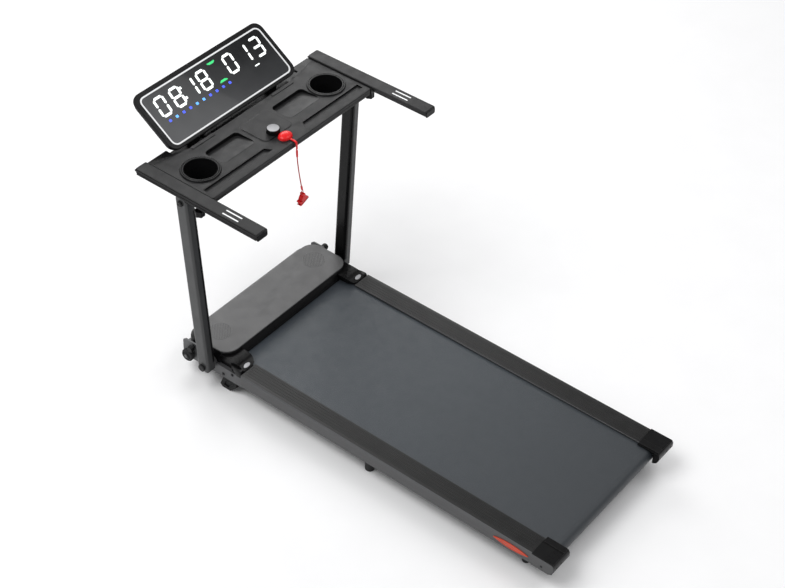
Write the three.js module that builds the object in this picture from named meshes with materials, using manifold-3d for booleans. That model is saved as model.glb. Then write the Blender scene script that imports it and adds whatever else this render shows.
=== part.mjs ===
// Folding motorised treadmill: flat running deck, two slim uprights, a level console with
// handrails, a tilting display, cup holders, a speed knob and a pull-out safety key.
// Millimetres. +X is the user's right, +Y points to the console end, +Z is up.
// The floor is z = 0 and the origin is under the middle of the whole machine.
import * as THREE from 'three';
import Module from 'manifold-3d';
import { mergeVertices } from 'three/addons/utils/BufferGeometryUtils.js';

const wasm = await Module();
wasm.setup();

// ---------------------------------------------------------------- driving dimensions
const GAP = 0.3;

const DECK_REAR = -705;
const RAIL_OUTER = 273;
const RAIL_INNER = 232;
const RAIL_LIP = 212;
const RAIL_TOP = 92;
const RAIL_BOTTOM = 52;
const RAIL_FRONT = 326;
const CAP_FRONT = -637;
const STRIP_INNER = 217;
const STRIP_OUTER = 262;
const STRIP_DEPTH = 2;

const ROLLER_R = 19;
const ROLLER_Z = 65;
const REAR_ROLLER_Y = -661;
const FRONT_ROLLER_Y = 418;
const ROLLER_HALF = 219;
const AXLE_R = 6;
const BELT_HALF = 216;
const BELT_THICK = 1.9;

const SIDE_INNER = 240;
const SIDE_OUTER = 268;
const SIDE_BOTTOM = 41;
const SIDE_TOP = 77;
const BASE_FRONT = 545;

const MOTOR_Y = 488;
const MOTOR_Z = 58;
const MOTOR_R = 31;
const MOTOR_PULLEY_R = 11;
const ROLLER_PULLEY_R = 22;
const PULLEY_X0 = 221;
const PULLEY_X1 = 231.5;

const COVER_TOP = 114;
const PLATE_HALF = 257;
const PLATE_REAR = 385;
const PLATE_FRONT = 530;
const PLATE_CORNER = 40;
const PLATE_THICK = 3;
const GRILLE_X = 198;
const GRILLE_Y = 469;
const GRILLE_R = 29;

const FOLD_Y = 437;
const FOLD_Z = 78;
const FOLD_X = 288;
const POST_FOOT = 64;
const POST_WIDE = 32;
const POST_DEEP = 40;
const POST_CORNER = 8;
const SPLAY = Math.tan(THREE.MathUtils.degToRad(3.6));
const LEVEL_Z = 672;
const BOLT_HOLE_R = 6.4;
const CONSOLE_HOLE_R = 5.4;

const ARM_OUTER = 351;
const ARM_INNER = 311;
const ARM_TOP = 714;
const ARM_BOTTOM = 694;
const ARM_REAR = 174;
const CONSOLE_FRONT = 583;
const TRAY_HALF = 307;
const TRAY_TOP = 709.5;
const TRAY_BOTTOM = 688;
const TRAY_REAR = 355;
const TRAY_LEDGE = 541;

const CUP_X = 243;
const CUP_Y = 458.5;
const CUP_HOLE_R = 46.3;

const SCREEN_WIDE = 478;
const SCREEN_LONG = 176;
const SCREEN_THICK = 26;
const SCREEN_TILT = THREE.MathUtils.degToRad(34.4);
const SCREEN_EDGE = [553.54, 715.46];
const SCREEN_CORNER = 26;
const SCREEN_BORDER = 13;
const SCREEN_FOOT = 8.5;
const HINGE_X = 150;
const HINGE_WIDE = 30;
const HINGE_R = 9;
const HINGE_PIN_R = 3;
const HINGE_ALONG = 16.5;
const HINGE_DEPTH = 15.5;

const KNOB = [-8, 424];
const KEY = [-2, 388];
const STRAP_Y = 349;
const CORD_R = 1.6;

// ---------------------------------------------------------------- geometry helpers
const AXES_X = new THREE.Matrix4().makeBasis(
  new THREE.Vector3(0, 1, 0), new THREE.Vector3(0, 0, 1), new THREE.Vector3(1, 0, 0));
const AXES_Y = new THREE.Matrix4().makeBasis(
  new THREE.Vector3(1, 0, 0), new THREE.Vector3(0, 0, 1), new THREE.Vector3(0, -1, 0));

function outline(points) {
  return new THREE.Shape(points.map(([a, b]) => new THREE.Vector2(a, b)));
}

function prismZ(points, z0, z1) {
  const g = new THREE.ExtrudeGeometry(outline(points), { depth: z1 - z0, bevelEnabled: false });
  return g.translate(0, 0, z0);
}

// outline in (y, z), swept along x
function prismX(points, x0, x1) {
  const a = Math.min(x0, x1);
  const b = Math.max(x0, x1);
  const g = new THREE.ExtrudeGeometry(outline(points), { depth: b - a, bevelEnabled: false });
  return g.applyMatrix4(AXES_X).translate(a, 0, 0);
}

// outline in (x, z), swept along y
function prismY(points, y0, y1) {
  const g = new THREE.ExtrudeGeometry(outline(points), { depth: y1 - y0, bevelEnabled: false });
  return g.applyMatrix4(AXES_Y).translate(0, y1, 0);
}

function box(x0, x1, y0, y1, z0, z1) {
  const g = new THREE.BoxGeometry(Math.abs(x1 - x0), y1 - y0, z1 - z0);
  return g.translate((x0 + x1) / 2, (y0 + y1) / 2, (z0 + z1) / 2);
}

function cylX(r, x0, x1, y, z, n = 32) {
  const g = new THREE.CylinderGeometry(r, r, Math.abs(x1 - x0), n);
  return g.rotateZ(Math.PI / 2).translate((x0 + x1) / 2, y, z);
}

function cylZ(r, x, y, z0, z1, n = 32) {
  const g = new THREE.CylinderGeometry(r, r, z1 - z0, n);
  return g.rotateX(Math.PI / 2).translate(x, y, (z0 + z1) / 2);
}

// profile of [radius, height], starting and ending on the axis
function latheZ(profile, x, y, n = 40) {
  const g = new THREE.LatheGeometry(profile.map(([r, h]) => new THREE.Vector2(r, h)), n);
  return g.rotateX(Math.PI / 2).translate(x, y, 0);
}

// the same, turned about an axis along x
function latheX(profile, y, z, n = 32) {
  const g = new THREE.LatheGeometry(profile.map(([r, h]) => new THREE.Vector2(r, h)), n);
  return g.rotateZ(-Math.PI / 2).translate(0, y, z);
}

function roundRect(x0, x1, y0, y1, r, n = 6) {
  const points = [];
  const centres = [[x1 - r, y1 - r, 0], [x0 + r, y1 - r, 1], [x0 + r, y0 + r, 2], [x1 - r, y0 + r, 3]];
  for (const [cx, cy, quarter] of centres) {
    for (let i = 0; i <= n; i += 1) {
      const t = (quarter + i / n) * Math.PI / 2;
      points.push([cx + r * Math.cos(t), cy + r * Math.sin(t)]);
    }
  }
  return points;
}

function solid(geometry) {
  const g = geometry.clone();
  g.deleteAttribute('normal');
  g.deleteAttribute('uv');
  const merged = mergeVertices(g, 1e-4);
  return new wasm.Manifold(new wasm.Mesh({
    numProp: 3,
    vertProperties: new Float32Array(merged.attributes.position.array),
    triVerts: new Uint32Array(merged.index.array),
  }));
}

function surface(body) {
  const mesh = body.getMesh();
  const g = new THREE.BufferGeometry();
  g.setAttribute('position', new THREE.BufferAttribute(new Float32Array(mesh.vertProperties), 3));
  g.setIndex(new THREE.BufferAttribute(new Uint32Array(mesh.triVerts), 1));
  g.computeVertexNormals();
  return g;
}

function join(...geometries) {
  return surface(geometries.map(solid).reduce((a, b) => a.add(b)));
}

function cut(geometry, ...tools) {
  return surface(tools.map(solid).reduce((a, b) => a.subtract(b), solid(geometry)));
}

function hull(...geometries) {
  return surface(wasm.Manifold.hull(geometries.map(solid)));
}

function common(geometry, ...others) {
  return surface(others.map(solid).reduce((a, b) => a.intersect(b), solid(geometry)));
}

// ---------------------------------------------------------------- finishes
const FINISH = {
  aluminium: [0x8b8d90, 0.45, 0.7],
  darkPlastic: [0x1b1b1d, 0.5, 0],
  greyPlastic: [0x6a6b6d, 0.5, 0],
  rubber: [0x17181a, 0.85, 0],
  belt: [0x444c54, 0.9, 0],
  steel: [0x34363a, 0.5, 0.6],
  bright: [0xc9cbce, 0.25, 0.9],
  board: [0x5d4a35, 0.8, 0],
  glass: [0x24262a, 0.08, 0],
  white: [0xe6e7e8, 0.3, 0],
  red: [0xc5141b, 0.35, 0],
  orange: [0xd9551f, 0.3, 0],
  green: [0x1f5a34, 0.6, 0],
};

const group = new THREE.Group();

function addTo(parent, name, geometry, finish) {
  const [color, roughness, metalness] = FINISH[finish];
  const material = new THREE.MeshStandardMaterial({ color, roughness, metalness });
  const mesh = new THREE.Mesh(geometry, material);
  mesh.name = name;
  parent.add(mesh);
}

const base = new THREE.Group();
const uprights = new THREE.Group();
const consoleTop = new THREE.Group();
group.add(base, uprights, consoleTop);

const SIDES = [['left', -1], ['right', 1]];

// ---------------------------------------------------------------- running deck
function rail(s) {
  const section = [
    [RAIL_OUTER, RAIL_BOTTOM], [RAIL_OUTER, RAIL_TOP - 1.5], [RAIL_OUTER - 1.5, RAIL_TOP],
    [267.2, RAIL_TOP], [267.2, RAIL_TOP - 1], [266, RAIL_TOP - 1], [266, RAIL_TOP],
    [STRIP_OUTER, RAIL_TOP], [STRIP_OUTER, RAIL_TOP - STRIP_DEPTH],
    [STRIP_INNER, RAIL_TOP - STRIP_DEPTH], [STRIP_INNER, RAIL_TOP],
    [RAIL_LIP + 1, RAIL_TOP], [RAIL_LIP, RAIL_TOP - 1], [RAIL_LIP, RAIL_TOP - 4.5],
    [RAIL_INNER, RAIL_TOP - 4.5], [RAIL_INNER, RAIL_BOTTOM],
  ];
  const core = [
    [RAIL_INNER + 3, RAIL_BOTTOM + 3], [RAIL_OUTER - 3, RAIL_BOTTOM + 3],
    [RAIL_OUTER - 3, RAIL_TOP - 8], [RAIL_INNER + 3, RAIL_TOP - 8],
  ];
  return cut(
    prismY(section.map(([x, z]) => [s * x, z]), CAP_FRONT, RAIL_FRONT),
    prismY(core.map(([x, z]) => [s * x, z]), CAP_FRONT - 1, RAIL_FRONT + 1),
  );
}

function footStrip(s) {
  const z0 = RAIL_TOP - STRIP_DEPTH + GAP;
  const section = [
    [STRIP_INNER + GAP, z0], [STRIP_OUTER - GAP, z0], [STRIP_OUTER - GAP, z0 + 1.8],
    [STRIP_OUTER - 1.1, z0 + 2.4], [STRIP_INNER + 1.1, z0 + 2.4], [STRIP_INNER + GAP, z0 + 1.8],
  ];
  return prismY(section.map(([x, z]) => [s * x, z]), CAP_FRONT + GAP, RAIL_FRONT - GAP);
}

function beltLoop(rearY, rearZ, rearR, frontY, frontZ, frontR, x0, x1, thick, n) {
  const loop = (offset) => {
    const points = [];
    const dy = frontY - rearY;
    const dz = frontZ - rearZ;
    const length = Math.hypot(dy, dz);
    const lean = Math.atan2(dz, dy);
    const spread = Math.asin((rearR - frontR) / length);
    for (let i = 0; i <= n; i += 1) {
      const t = lean + Math.PI / 2 - spread + (Math.PI + 2 * spread) * i / n;
      points.push([rearY + (rearR + offset) * Math.cos(t), rearZ + (rearR + offset) * Math.sin(t)]);
    }
    for (let i = 0; i <= n; i += 1) {
      const t = lean - Math.PI / 2 + spread + (Math.PI - 2 * spread) * i / n;
      points.push([frontY + (frontR + offset) * Math.cos(t), frontZ + (frontR + offset) * Math.sin(t)]);
    }
    return points;
  };
  return cut(prismX(loop(GAP + thick), x0, x1), prismX(loop(GAP), Math.min(x0, x1) - 1, Math.max(x0, x1) + 1));
}

for (const [side, s] of SIDES) {
  addTo(base, `rail_${side}`, rail(s), 'aluminium');
  addTo(base, `foot_strip_${side}`, footStrip(s), 'rubber');
}

const DECK_TOP = ROLLER_Z + ROLLER_R;
const DECK_THICK = 14;
addTo(base, 'running_deck', box(
  -(RAIL_INNER - GAP), RAIL_INNER - GAP, REAR_ROLLER_Y + 25, 366, DECK_TOP - DECK_THICK, DECK_TOP), 'board');
addTo(base, 'running_belt', beltLoop(
  REAR_ROLLER_Y, ROLLER_Z, ROLLER_R, FRONT_ROLLER_Y, ROLLER_Z, ROLLER_R,
  -BELT_HALF, BELT_HALF, BELT_THICK, 16), 'belt');

addTo(base, 'rear_roller', latheX([
  [0, -249], [AXLE_R, -249], [AXLE_R, -ROLLER_HALF], [ROLLER_R - 1, -ROLLER_HALF],
  [ROLLER_R, 1 - ROLLER_HALF], [ROLLER_R, ROLLER_HALF - 1], [ROLLER_R - 1, ROLLER_HALF],
  [AXLE_R, ROLLER_HALF], [AXLE_R, 249], [0, 249],
], REAR_ROLLER_Y, ROLLER_Z), 'steel');

addTo(base, 'front_roller', latheX([
  [0, -243], [AXLE_R, -243], [AXLE_R, -ROLLER_HALF], [ROLLER_R, -ROLLER_HALF],
  [ROLLER_R, ROLLER_HALF], [14, ROLLER_HALF], [14, PULLEY_X0], [ROLLER_PULLEY_R + 2, PULLEY_X0],
  [ROLLER_PULLEY_R, PULLEY_X0 + 0.6], [ROLLER_PULLEY_R, PULLEY_X1], [AXLE_R, PULLEY_X1],
  [AXLE_R, 243], [0, 243],
], FRONT_ROLLER_Y, ROLLER_Z), 'steel');

for (const [name, y] of [['mid_crossbar', -160], ['rear_crossbar', -560]]) {
  addTo(base, name, box(
    -(RAIL_INNER - GAP), RAIL_INNER - GAP, y - 15, y + 15, 48, DECK_TOP - DECK_THICK - GAP), 'steel');
}

// ---------------------------------------------------------------- front frame and drive
const WHEEL_Y = 513;
const WHEEL_Z = 64;
const WHEEL_R = 19;
const WHEEL_INNER = SIDE_OUTER + 6;
const WHEEL_OUTER = WHEEL_INNER + 16;
const LOCK_Y = 500;
const LOCK_Z = 94;
const LOCK_PLATE = SIDE_OUTER + 4;
const BOSS_INNER = 262.3;
const BOSS_OUTER = 270.6;

function frameSide(s) {
  const plate = [
    [486, 44], [536, 44], [540, 60], [540, 98], [530, 106], [492, 106], [484, 98], [484, 60],
  ];
  const body = join(
    box(s * SIDE_INNER, s * SIDE_OUTER, RAIL_FRONT + GAP, BASE_FRONT, SIDE_BOTTOM, SIDE_TOP),
    cylX(14, s * BOSS_INNER, s * BOSS_OUTER, FOLD_Y, FOLD_Z),
    prismX(plate, s * SIDE_OUTER, s * LOCK_PLATE),
    box(s * (SIDE_OUTER - 3), s * (SIDE_OUTER + 3), 500, 535, SIDE_BOTTOM + 4, SIDE_TOP - 2),
    cylX(5.6, s * (SIDE_OUTER + 1), s * (WHEEL_OUTER + 3), WHEEL_Y, WHEEL_Z, 20),
  );
  return cut(
    body,
    cylX(BOLT_HOLE_R, s * (BOSS_INNER + 1.7), s * (BOSS_OUTER + 1), FOLD_Y, FOLD_Z, 24),
    cylX(AXLE_R + 0.4, s * (SIDE_INNER - 1), s * 243.6, FRONT_ROLLER_Y, ROLLER_Z, 24),
    cylX(4.4, s * (SIDE_OUTER - 2), s * (LOCK_PLATE + 1), LOCK_Y, LOCK_Z, 20),
  );
}

function wheel(s) {
  const x0 = WHEEL_INNER;
  const x1 = WHEEL_OUTER;
  const bore = 6;
  const profile = [
    [0, x0], [WHEEL_R - 3, x0], [WHEEL_R, x0 + 3], [WHEEL_R, x1 - 3], [WHEEL_R - 3, x1],
    [WHEEL_R - 5, x1], [WHEEL_R - 6.5, x1 - 2.5], [9.5, x1 - 2.5], [8.5, x1], [0, x1],
  ];
  const turned = latheX(profile.map(([r, x]) => [r, s * x]), WHEEL_Y, WHEEL_Z, 36);
  const body = s > 0 ? turned : flipped(turned);
  return cut(body, cylX(bore, s * (x0 - 1), s * (x1 + 1), WHEEL_Y, WHEEL_Z, 20));
}

// turns a geometry whose profile was mirrored the right way out
function flipped(geometry) {
  const g = geometry.clone();
  const index = g.index.array;
  for (let i = 0; i < index.length; i += 3) {
    [index[i], index[i + 1]] = [index[i + 1], index[i]];
  }
  return g;
}

function mirroredLatheX(profile, s, y, z, n) {
  const turned = latheX(profile.map(([r, x]) => [r, s * x]), y, z, n);
  return s > 0 ? turned : flipped(turned);
}

function lockKnob(s) {
  return mirroredLatheX([
    [0, 262.5], [4, 262.5], [4, 272.4], [6, 272.4], [6, 275], [8.5, 276], [9.5, 277.5], [9.5, 288],
    [8.5, 290], [0, 290],
  ], s, LOCK_Y, LOCK_Z, 24);
}

function frontFoot(s) {
  const shape = [
    [350, SIDE_BOTTOM - GAP], [397, SIDE_BOTTOM - GAP], [409, 9], [402, 0], [374, 0], [350, 24],
  ];
  return cut(
    prismX(shape, s * 238, s * SIDE_OUTER),
    prismX([[357, 35], [389, 35], [398, 12], [378, 8]], s * (SIDE_OUTER - 2.5), s * (SIDE_OUTER + 1)),
  );
}

for (const [side, s] of SIDES) {
  addTo(base, `frame_side_${side}`, frameSide(s), 'steel');
  addTo(base, `front_foot_${side}`, frontFoot(s), 'darkPlastic');
  addTo(base, `wheel_${side}`, wheel(s), 'rubber');
  addTo(base, `lock_knob_${side}`, lockKnob(s), 'darkPlastic');
  addTo(base, `pivot_bolt_${side}`, mirroredLatheX([
    [0, BOSS_INNER + 2.1], [AXLE_R, BOSS_INNER + 2.1], [AXLE_R, 305.8], [11, 305.8], [11, 310],
    [8, 311.6], [0, 311.6],
  ], s, FOLD_Y, FOLD_Z, 24), 'steel');
}

const CROSSBAR_LOW = 50;
addTo(base, 'front_crossbar', box(
  -(SIDE_INNER - GAP), SIDE_INNER - GAP, BASE_FRONT - 18, BASE_FRONT, CROSSBAR_LOW, SIDE_TOP), 'steel');

const PAN_HALF = 236;
const PAN_WALL = 3;
const PAN_REAR = 425;
const PAN_FRONT = 526;
const PAN_LOW = 17;
const PAN_TOP_FACE = PAN_LOW + PAN_WALL;
const PAN_HIGH = 52;
addTo(base, 'belly_pan', join(
  box(-PAN_HALF, PAN_HALF, PAN_REAR, PAN_FRONT, PAN_LOW, PAN_TOP_FACE),
  box(-PAN_HALF, PAN_WALL - PAN_HALF, PAN_REAR, PAN_FRONT, PAN_LOW, PAN_HIGH),
  box(PAN_HALF - PAN_WALL, PAN_HALF, PAN_REAR, PAN_FRONT, PAN_LOW, PAN_HIGH),
  box(-PAN_HALF, PAN_HALF, PAN_FRONT - PAN_WALL, PAN_FRONT, PAN_LOW, PAN_HIGH),
), 'steel');

addTo(base, 'motor', join(
  cylX(MOTOR_R, 95, 205, MOTOR_Y, MOTOR_Z, 36),
  cylX(MOTOR_R - 6, 205, 213, MOTOR_Y, MOTOR_Z, 36),
  cylX(MOTOR_R - 9, 88, 95, MOTOR_Y, MOTOR_Z, 36),
  box(110, 190, MOTOR_Y - 22, MOTOR_Y + 22, 20 + GAP, 40),
), 'steel');

addTo(base, 'motor_pulley', latheX([
  [0, 213.4], [4, 213.4], [4, 219], [MOTOR_PULLEY_R + 2, 219], [MOTOR_PULLEY_R + 2, 220.6],
  [MOTOR_PULLEY_R, PULLEY_X0 + 0.2], [MOTOR_PULLEY_R, PULLEY_X1], [0, PULLEY_X1],
], MOTOR_Y, MOTOR_Z, 24), 'bright');

addTo(base, 'drive_belt', beltLoop(
  FRONT_ROLLER_Y, ROLLER_Z, ROLLER_PULLEY_R, MOTOR_Y, MOTOR_Z, MOTOR_PULLEY_R,
  PULLEY_X0 + 1.2, PULLEY_X1 - 0.6, 2.4, 12), 'rubber');

function controlBoard() {
  const parts = [box(-190, -50, 455, 520, 20 + GAP, 30)];
  const fins = 9;
  for (let i = 0; i < fins; i += 1) {
    const x = -185 + i * 9;
    parts.push(box(x, x + 3, 458, 500, 29, 56));
  }
  parts.push(box(-100, -58, 460, 515, 29, 48));
  return join(...parts);
}
addTo(base, 'control_board', controlBoard(), 'green');

// ---------------------------------------------------------------- motor cover and corner caps
const COVER_HALF = 261.5;
const COVER_FOOT = 78;
const COVER_REAR = 372;
const COVER_FRONT = 548.5;
const COVER_WALL = 3;
const COVER_WALL_LOW = 50;
const CAP_INNER = 202;
const CAP_OUTER = 257;
const CAP_TOP = 108;
const CAP_CLEAR = CAP_TOP + 1.5;

// levels of [z, half width, rear, front, corner radius], joined into one tapered body
function tapered(levels) {
  return hull(...levels.map(([z, half, rear, front, r]) => prismZ(
    roundRect(-half, half, rear, front, r), z, z + 1)));
}

function coverShell() {
  const w = COVER_WALL;
  const half = COVER_HALF;
  const outer = tapered([
    [COVER_FOOT, half, COVER_REAR, COVER_FRONT, 44],
    [COVER_FOOT + 19, half - 2.5, COVER_REAR + 7, COVER_FRONT, 44],
    [COVER_TOP - 1, PLATE_HALF - 2, PLATE_REAR + 2, PLATE_FRONT - 2, PLATE_CORNER - 2],
  ]);
  const inner = tapered([
    [COVER_FOOT - 2, half - w, COVER_REAR + w, COVER_FRONT - w, 41],
    [COVER_FOOT + 18, half - 2.5 - w, COVER_REAR + 7 + w, COVER_FRONT - w, 41],
    [COVER_TOP - 1 - w, PLATE_HALF - 2 - w, PLATE_REAR + 2 + w, PLATE_FRONT - 2 - w, PLATE_CORNER - 5],
  ]);
  const front = box(
    44 - half, half - 44, COVER_FRONT - 2.7, COVER_FRONT, COVER_WALL_LOW, COVER_FOOT + 6);
  const shell = join(cut(outer, inner), front);
  return cut(
    shell,
    box(-220, 220, 350, 405, 60, 89),
    box(CAP_INNER - 0.6, 300, 350, 413.8, 60, CAP_CLEAR),
    box(-300, 0.6 - CAP_INNER, 350, 413.8, 60, CAP_CLEAR),
  );
}
addTo(base, 'motor_cover', coverShell(), 'darkPlastic');

function coverPlate() {
  const z0 = COVER_TOP + GAP;
  const bevel = 1.2;
  const g = new THREE.ExtrudeGeometry(
    outline(roundRect(
      bevel - PLATE_HALF, PLATE_HALF - bevel, PLATE_REAR + bevel, PLATE_FRONT - bevel,
      PLATE_CORNER - bevel)),
    {
      depth: PLATE_THICK - 2 * bevel + 1,
      bevelEnabled: true,
      bevelThickness: bevel,
      bevelSize: bevel,
      bevelSegments: 2,
    },
  ).translate(0, 0, z0 + bevel);
  const top = z0 + PLATE_THICK + 1;
  return cut(
    g,
    cylZ(GRILLE_R, -GRILLE_X, GRILLE_Y, top - 0.8, top + 1),
    cylZ(GRILLE_R, GRILLE_X, GRILLE_Y, top - 0.8, top + 1),
  );
}
addTo(base, 'cover_plate', coverPlate(), 'greyPlastic');

addTo(base, 'power_inlet', cut(
  box(-210, -174, PAN_FRONT + GAP, COVER_FRONT, PAN_TOP_FACE + GAP, CROSSBAR_LOW - GAP),
  box(-204.5, -179.5, 532, COVER_FRONT + 1, 26.5, 43.5),
), 'darkPlastic');

const CAP_SLOPE = Math.atan2(11, 15);
const INSERT_X = 237;
const INSERT_Y = 335.5;
const INSERT_Z = 99.5;

function onCapSlope(geometry, s) {
  return geometry.rotateX(CAP_SLOPE).translate(s * INSERT_X, INSERT_Y, INSERT_Z);
}

function oval(a, b, z0, z1) {
  return cylZ(1, 0, 0, z0, z1, 28).scale(a, b, 1);
}

function frontCap(s) {
  const side = [
    [328, 93], [328, 94], [343, 105], [352, 107.2], [372, CAP_TOP], [413, CAP_TOP],
    [413, SIDE_TOP + GAP], [328, SIDE_TOP + GAP],
  ];
  const plan = [
    [CAP_OUTER, 328], [CAP_OUTER, 413], [CAP_INNER, 413], [CAP_INNER, 352], [206, 340],
    [212, 332], [220, 328],
  ];
  const body = common(
    prismX(side, s * CAP_INNER, s * CAP_OUTER),
    prismZ(plan.map(([x, y]) => [s * x, y]), 60, 120),
  );
  return cut(
    body,
    box(s * 200, s * (SIDE_INNER - 1), 320, 420, 60, 93),
    onCapSlope(oval(12.3, 5.8, -1.2, 3), s),
  );
}

for (const [side, s] of SIDES) {
  addTo(base, `front_cap_${side}`, frontCap(s), 'darkPlastic');
  addTo(base, `cap_insert_${side}`, onCapSlope(oval(12, 5.5, -0.9, 0.9), s), 'bright');
}

function rearCap(s) {
  const end = [
    [CAP_FRONT - GAP, 94], [-696, 94], [-702, 91], [DECK_REAR, 84], [DECK_REAR, 72],
    [-699, 58], [-688, RAIL_BOTTOM], [CAP_FRONT - GAP, RAIL_BOTTOM],
  ];
  const tail = [
    [-686, 93], [-697, 93], [-702, 90.5], [DECK_REAR, 84], [DECK_REAR, 72], [-699, 58],
    [-688, RAIL_BOTTOM], [-686, RAIL_BOTTOM],
  ];
  const lip = [
    [RAIL_OUTER + 1.5, 88], [RAIL_OUTER + 1.5, 92.5], [RAIL_OUTER, 94], [213, 94],
    [205, 91.5], [205, 88],
  ];
  return cut(
    join(
      common(
        prismX(end, s * (RAIL_INNER + 1), s * (RAIL_OUTER + 1.5)),
        prismY([
          [s * (RAIL_INNER + 1), 40], [s * (RAIL_OUTER + 1.5), 40], [s * (RAIL_OUTER + 1.5), 92.5],
          [s * RAIL_OUTER, 94], [s * (RAIL_INNER + 1), 94],
        ], DECK_REAR - 5, CAP_FRONT),
      ),
      prismY(lip.map(([x, z]) => [s * x, z]), -700, CAP_FRONT - GAP),
      prismX(tail, s * 206, s * (RAIL_INNER + 2)),
    ),
    cylX(AXLE_R + 0.4, s * (RAIL_INNER - 1), s * 250, REAR_ROLLER_Y, ROLLER_Z, 24),
    box(s * 240, s * 266, -709, -703.5, 76, 80),
  );
}

function reflector(s) {
  const half = 53;
  const tall = 8;
  const radius = (half * half + tall * tall) / (2 * tall);
  const span = Math.asin(half / radius);
  const lens = [];
  for (const up of [1, -1]) {
    for (let i = 0; i < 10; i += 1) {
      const t = up * (-span + 2 * span * i / 10);
      lens.push([-575 + radius * Math.sin(t), 71 + up * (radius * Math.cos(t) - radius + tall)]);
    }
  }
  return prismX(lens, s * (RAIL_OUTER + GAP), s * (RAIL_OUTER + 2.6));
}

const FOOT_X = 244;

function rubberFoot(x, y, r) {
  const top = RAIL_BOTTOM - GAP;
  return latheZ([
    [0, 0], [r - 1, 0], [r, 1.2], [r + 1, 44], [r + 3.5, 46], [r + 3.5, top], [0, top],
  ], x, y, 24);
}

for (const [side, s] of SIDES) {
  addTo(base, `rear_cap_${side}`, rearCap(s), 'darkPlastic');
  addTo(base, `reflector_${side}`, reflector(s), 'orange');
  addTo(base, `foot_mid_${side}`, rubberFoot(s * FOOT_X, -103, 13), 'rubber');
  addTo(base, `foot_rear_${side}`, rubberFoot(s * (FOOT_X - 10), -600, 10.5), 'rubber');
}

// ---------------------------------------------------------------- uprights
function post(s) {
  const end = POST_DEEP / 2;
  const side = [];
  for (let i = 0; i <= 12; i += 1) {
    const t = Math.PI * i / 12;
    side.push([FOLD_Y + end * Math.cos(t), LEVEL_Z + end * Math.sin(t)]);
  }
  const round = 6;
  for (const [cy, quarter] of [[FOLD_Y - end + round, 2], [FOLD_Y + end - round, 3]]) {
    for (let i = 0; i <= 5; i += 1) {
      const t = (quarter + i / 5) * Math.PI / 2;
      side.push([cy + round * Math.cos(t), POST_FOOT + round + round * Math.sin(t)]);
    }
  }
  const tube = prismZ(
    roundRect(-POST_WIDE / 2, POST_WIDE / 2, FOLD_Y - end, FOLD_Y + end, POST_CORNER, 4), 0, 760);
  const lean = new THREE.Matrix4().makeShear(0, 0, 0, 0, s * SPLAY, 0);
  tube.applyMatrix4(lean).translate(s * (FOLD_X - SPLAY * FOLD_Z), 0, 0);
  return cut(
    common(tube, prismX(side, s * 200, s * 400)),
    cylX(BOLT_HOLE_R, s * 250, s * 320, FOLD_Y, FOLD_Z, 24),
    cylX(CONSOLE_HOLE_R, s * 290, s * 360, FOLD_Y, LEVEL_Z, 24),
  );
}

for (const [side, s] of SIDES) {
  addTo(uprights, `post_${side}`, post(s), 'greyPlastic');
}

// ---------------------------------------------------------------- console
const CLAMP_X = 332;
const CLAMP_Y = 380;
const CLAMP_LOW = 660;
const CLAMP_HIGH = 676;
const CLAMP_STEM_R = 4.5;
const CLAMP_STEM_TOP = 703;

function clampKnob(s) {
  const lobes = [];
  const n = 36;
  for (let i = 0; i < n; i += 1) {
    const t = 2 * Math.PI * i / n;
    const r = 12.5 + Math.cos(6 * t);
    lobes.push([s * CLAMP_X + r * Math.cos(t), CLAMP_Y + r * Math.sin(t)]);
  }
  return join(
    prismZ(lobes, CLAMP_LOW, CLAMP_HIGH),
    cylZ(CLAMP_STEM_R, s * CLAMP_X, CLAMP_Y, CLAMP_HIGH - 1, CLAMP_STEM_TOP, 24),
  );
}

function arm(s) {
  const section = [
    [ARM_OUTER, 712], [ARM_OUTER - 2, ARM_TOP], [ARM_INNER + 2, ARM_TOP], [ARM_INNER, 712],
    [ARM_INNER, 708], [315, 705], [315, 697], [318, ARM_BOTTOM], [344, ARM_BOTTOM], [347, 697],
    [347, 705], [ARM_OUTER, 708],
  ];
  const profile = [
    [ARM_REAR + 4, ARM_BOTTOM], [CONSOLE_FRONT - 6, ARM_BOTTOM], [CONSOLE_FRONT, 700],
    [CONSOLE_FRONT, 711], [CONSOLE_FRONT - 3, ARM_TOP], [ARM_REAR + 3, ARM_TOP],
    [ARM_REAR, 711], [ARM_REAR, 699],
  ];
  return cut(
    join(
      common(
        prismY(section.map(([x, z]) => [s * x, z]), ARM_REAR - 1, CONSOLE_FRONT + 1),
        prismX(profile, s * 300, s * 360),
      ),
      box(s * (TRAY_HALF + GAP), s * 317, TRAY_REAR, CONSOLE_FRONT - 3, ARM_BOTTOM + 1, 707),
    ),
    cylZ(CLAMP_STEM_R + 0.3, s * CLAMP_X, CLAMP_Y, ARM_BOTTOM - 1, CLAMP_STEM_TOP + 1, 24),
  );
}

function cup(s) {
  return latheZ([
    [0, 650], [36, 650], [40.5, 686], [45.9, 690], [45.9, TRAY_TOP + GAP], [52.5, TRAY_TOP + GAP],
    [52.5, 712], [51.3, 713.2], [49.2, 713.2], [48.4, 712.2], [47.2, 712.2], [46.4, 713.2],
    [44, 713.2], [43, 711.5], [42.3, 700], [37.5, 688], [33, 654], [0, 654],
  ], s * CUP_X, CUP_Y, 40);
}

function phoneRest(s) {
  return common(
    prismZ(roundRect(Math.min(s * 66, s * 189), Math.max(s * 66, s * 189), 431, 502, 14, 4), 690, 720),
    prismX([[504, 698], [504, 715], [428, 715], [428, TRAY_TOP + 0.4]], s * 60, s * 200),
  );
}

function channel(s) {
  return prismZ([
    [s * 300, 400], [s * 74, 400], [s * 61, 376], [s * 300, 376],
  ], TRAY_TOP - 5, TRAY_TOP + 2);
}

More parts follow.
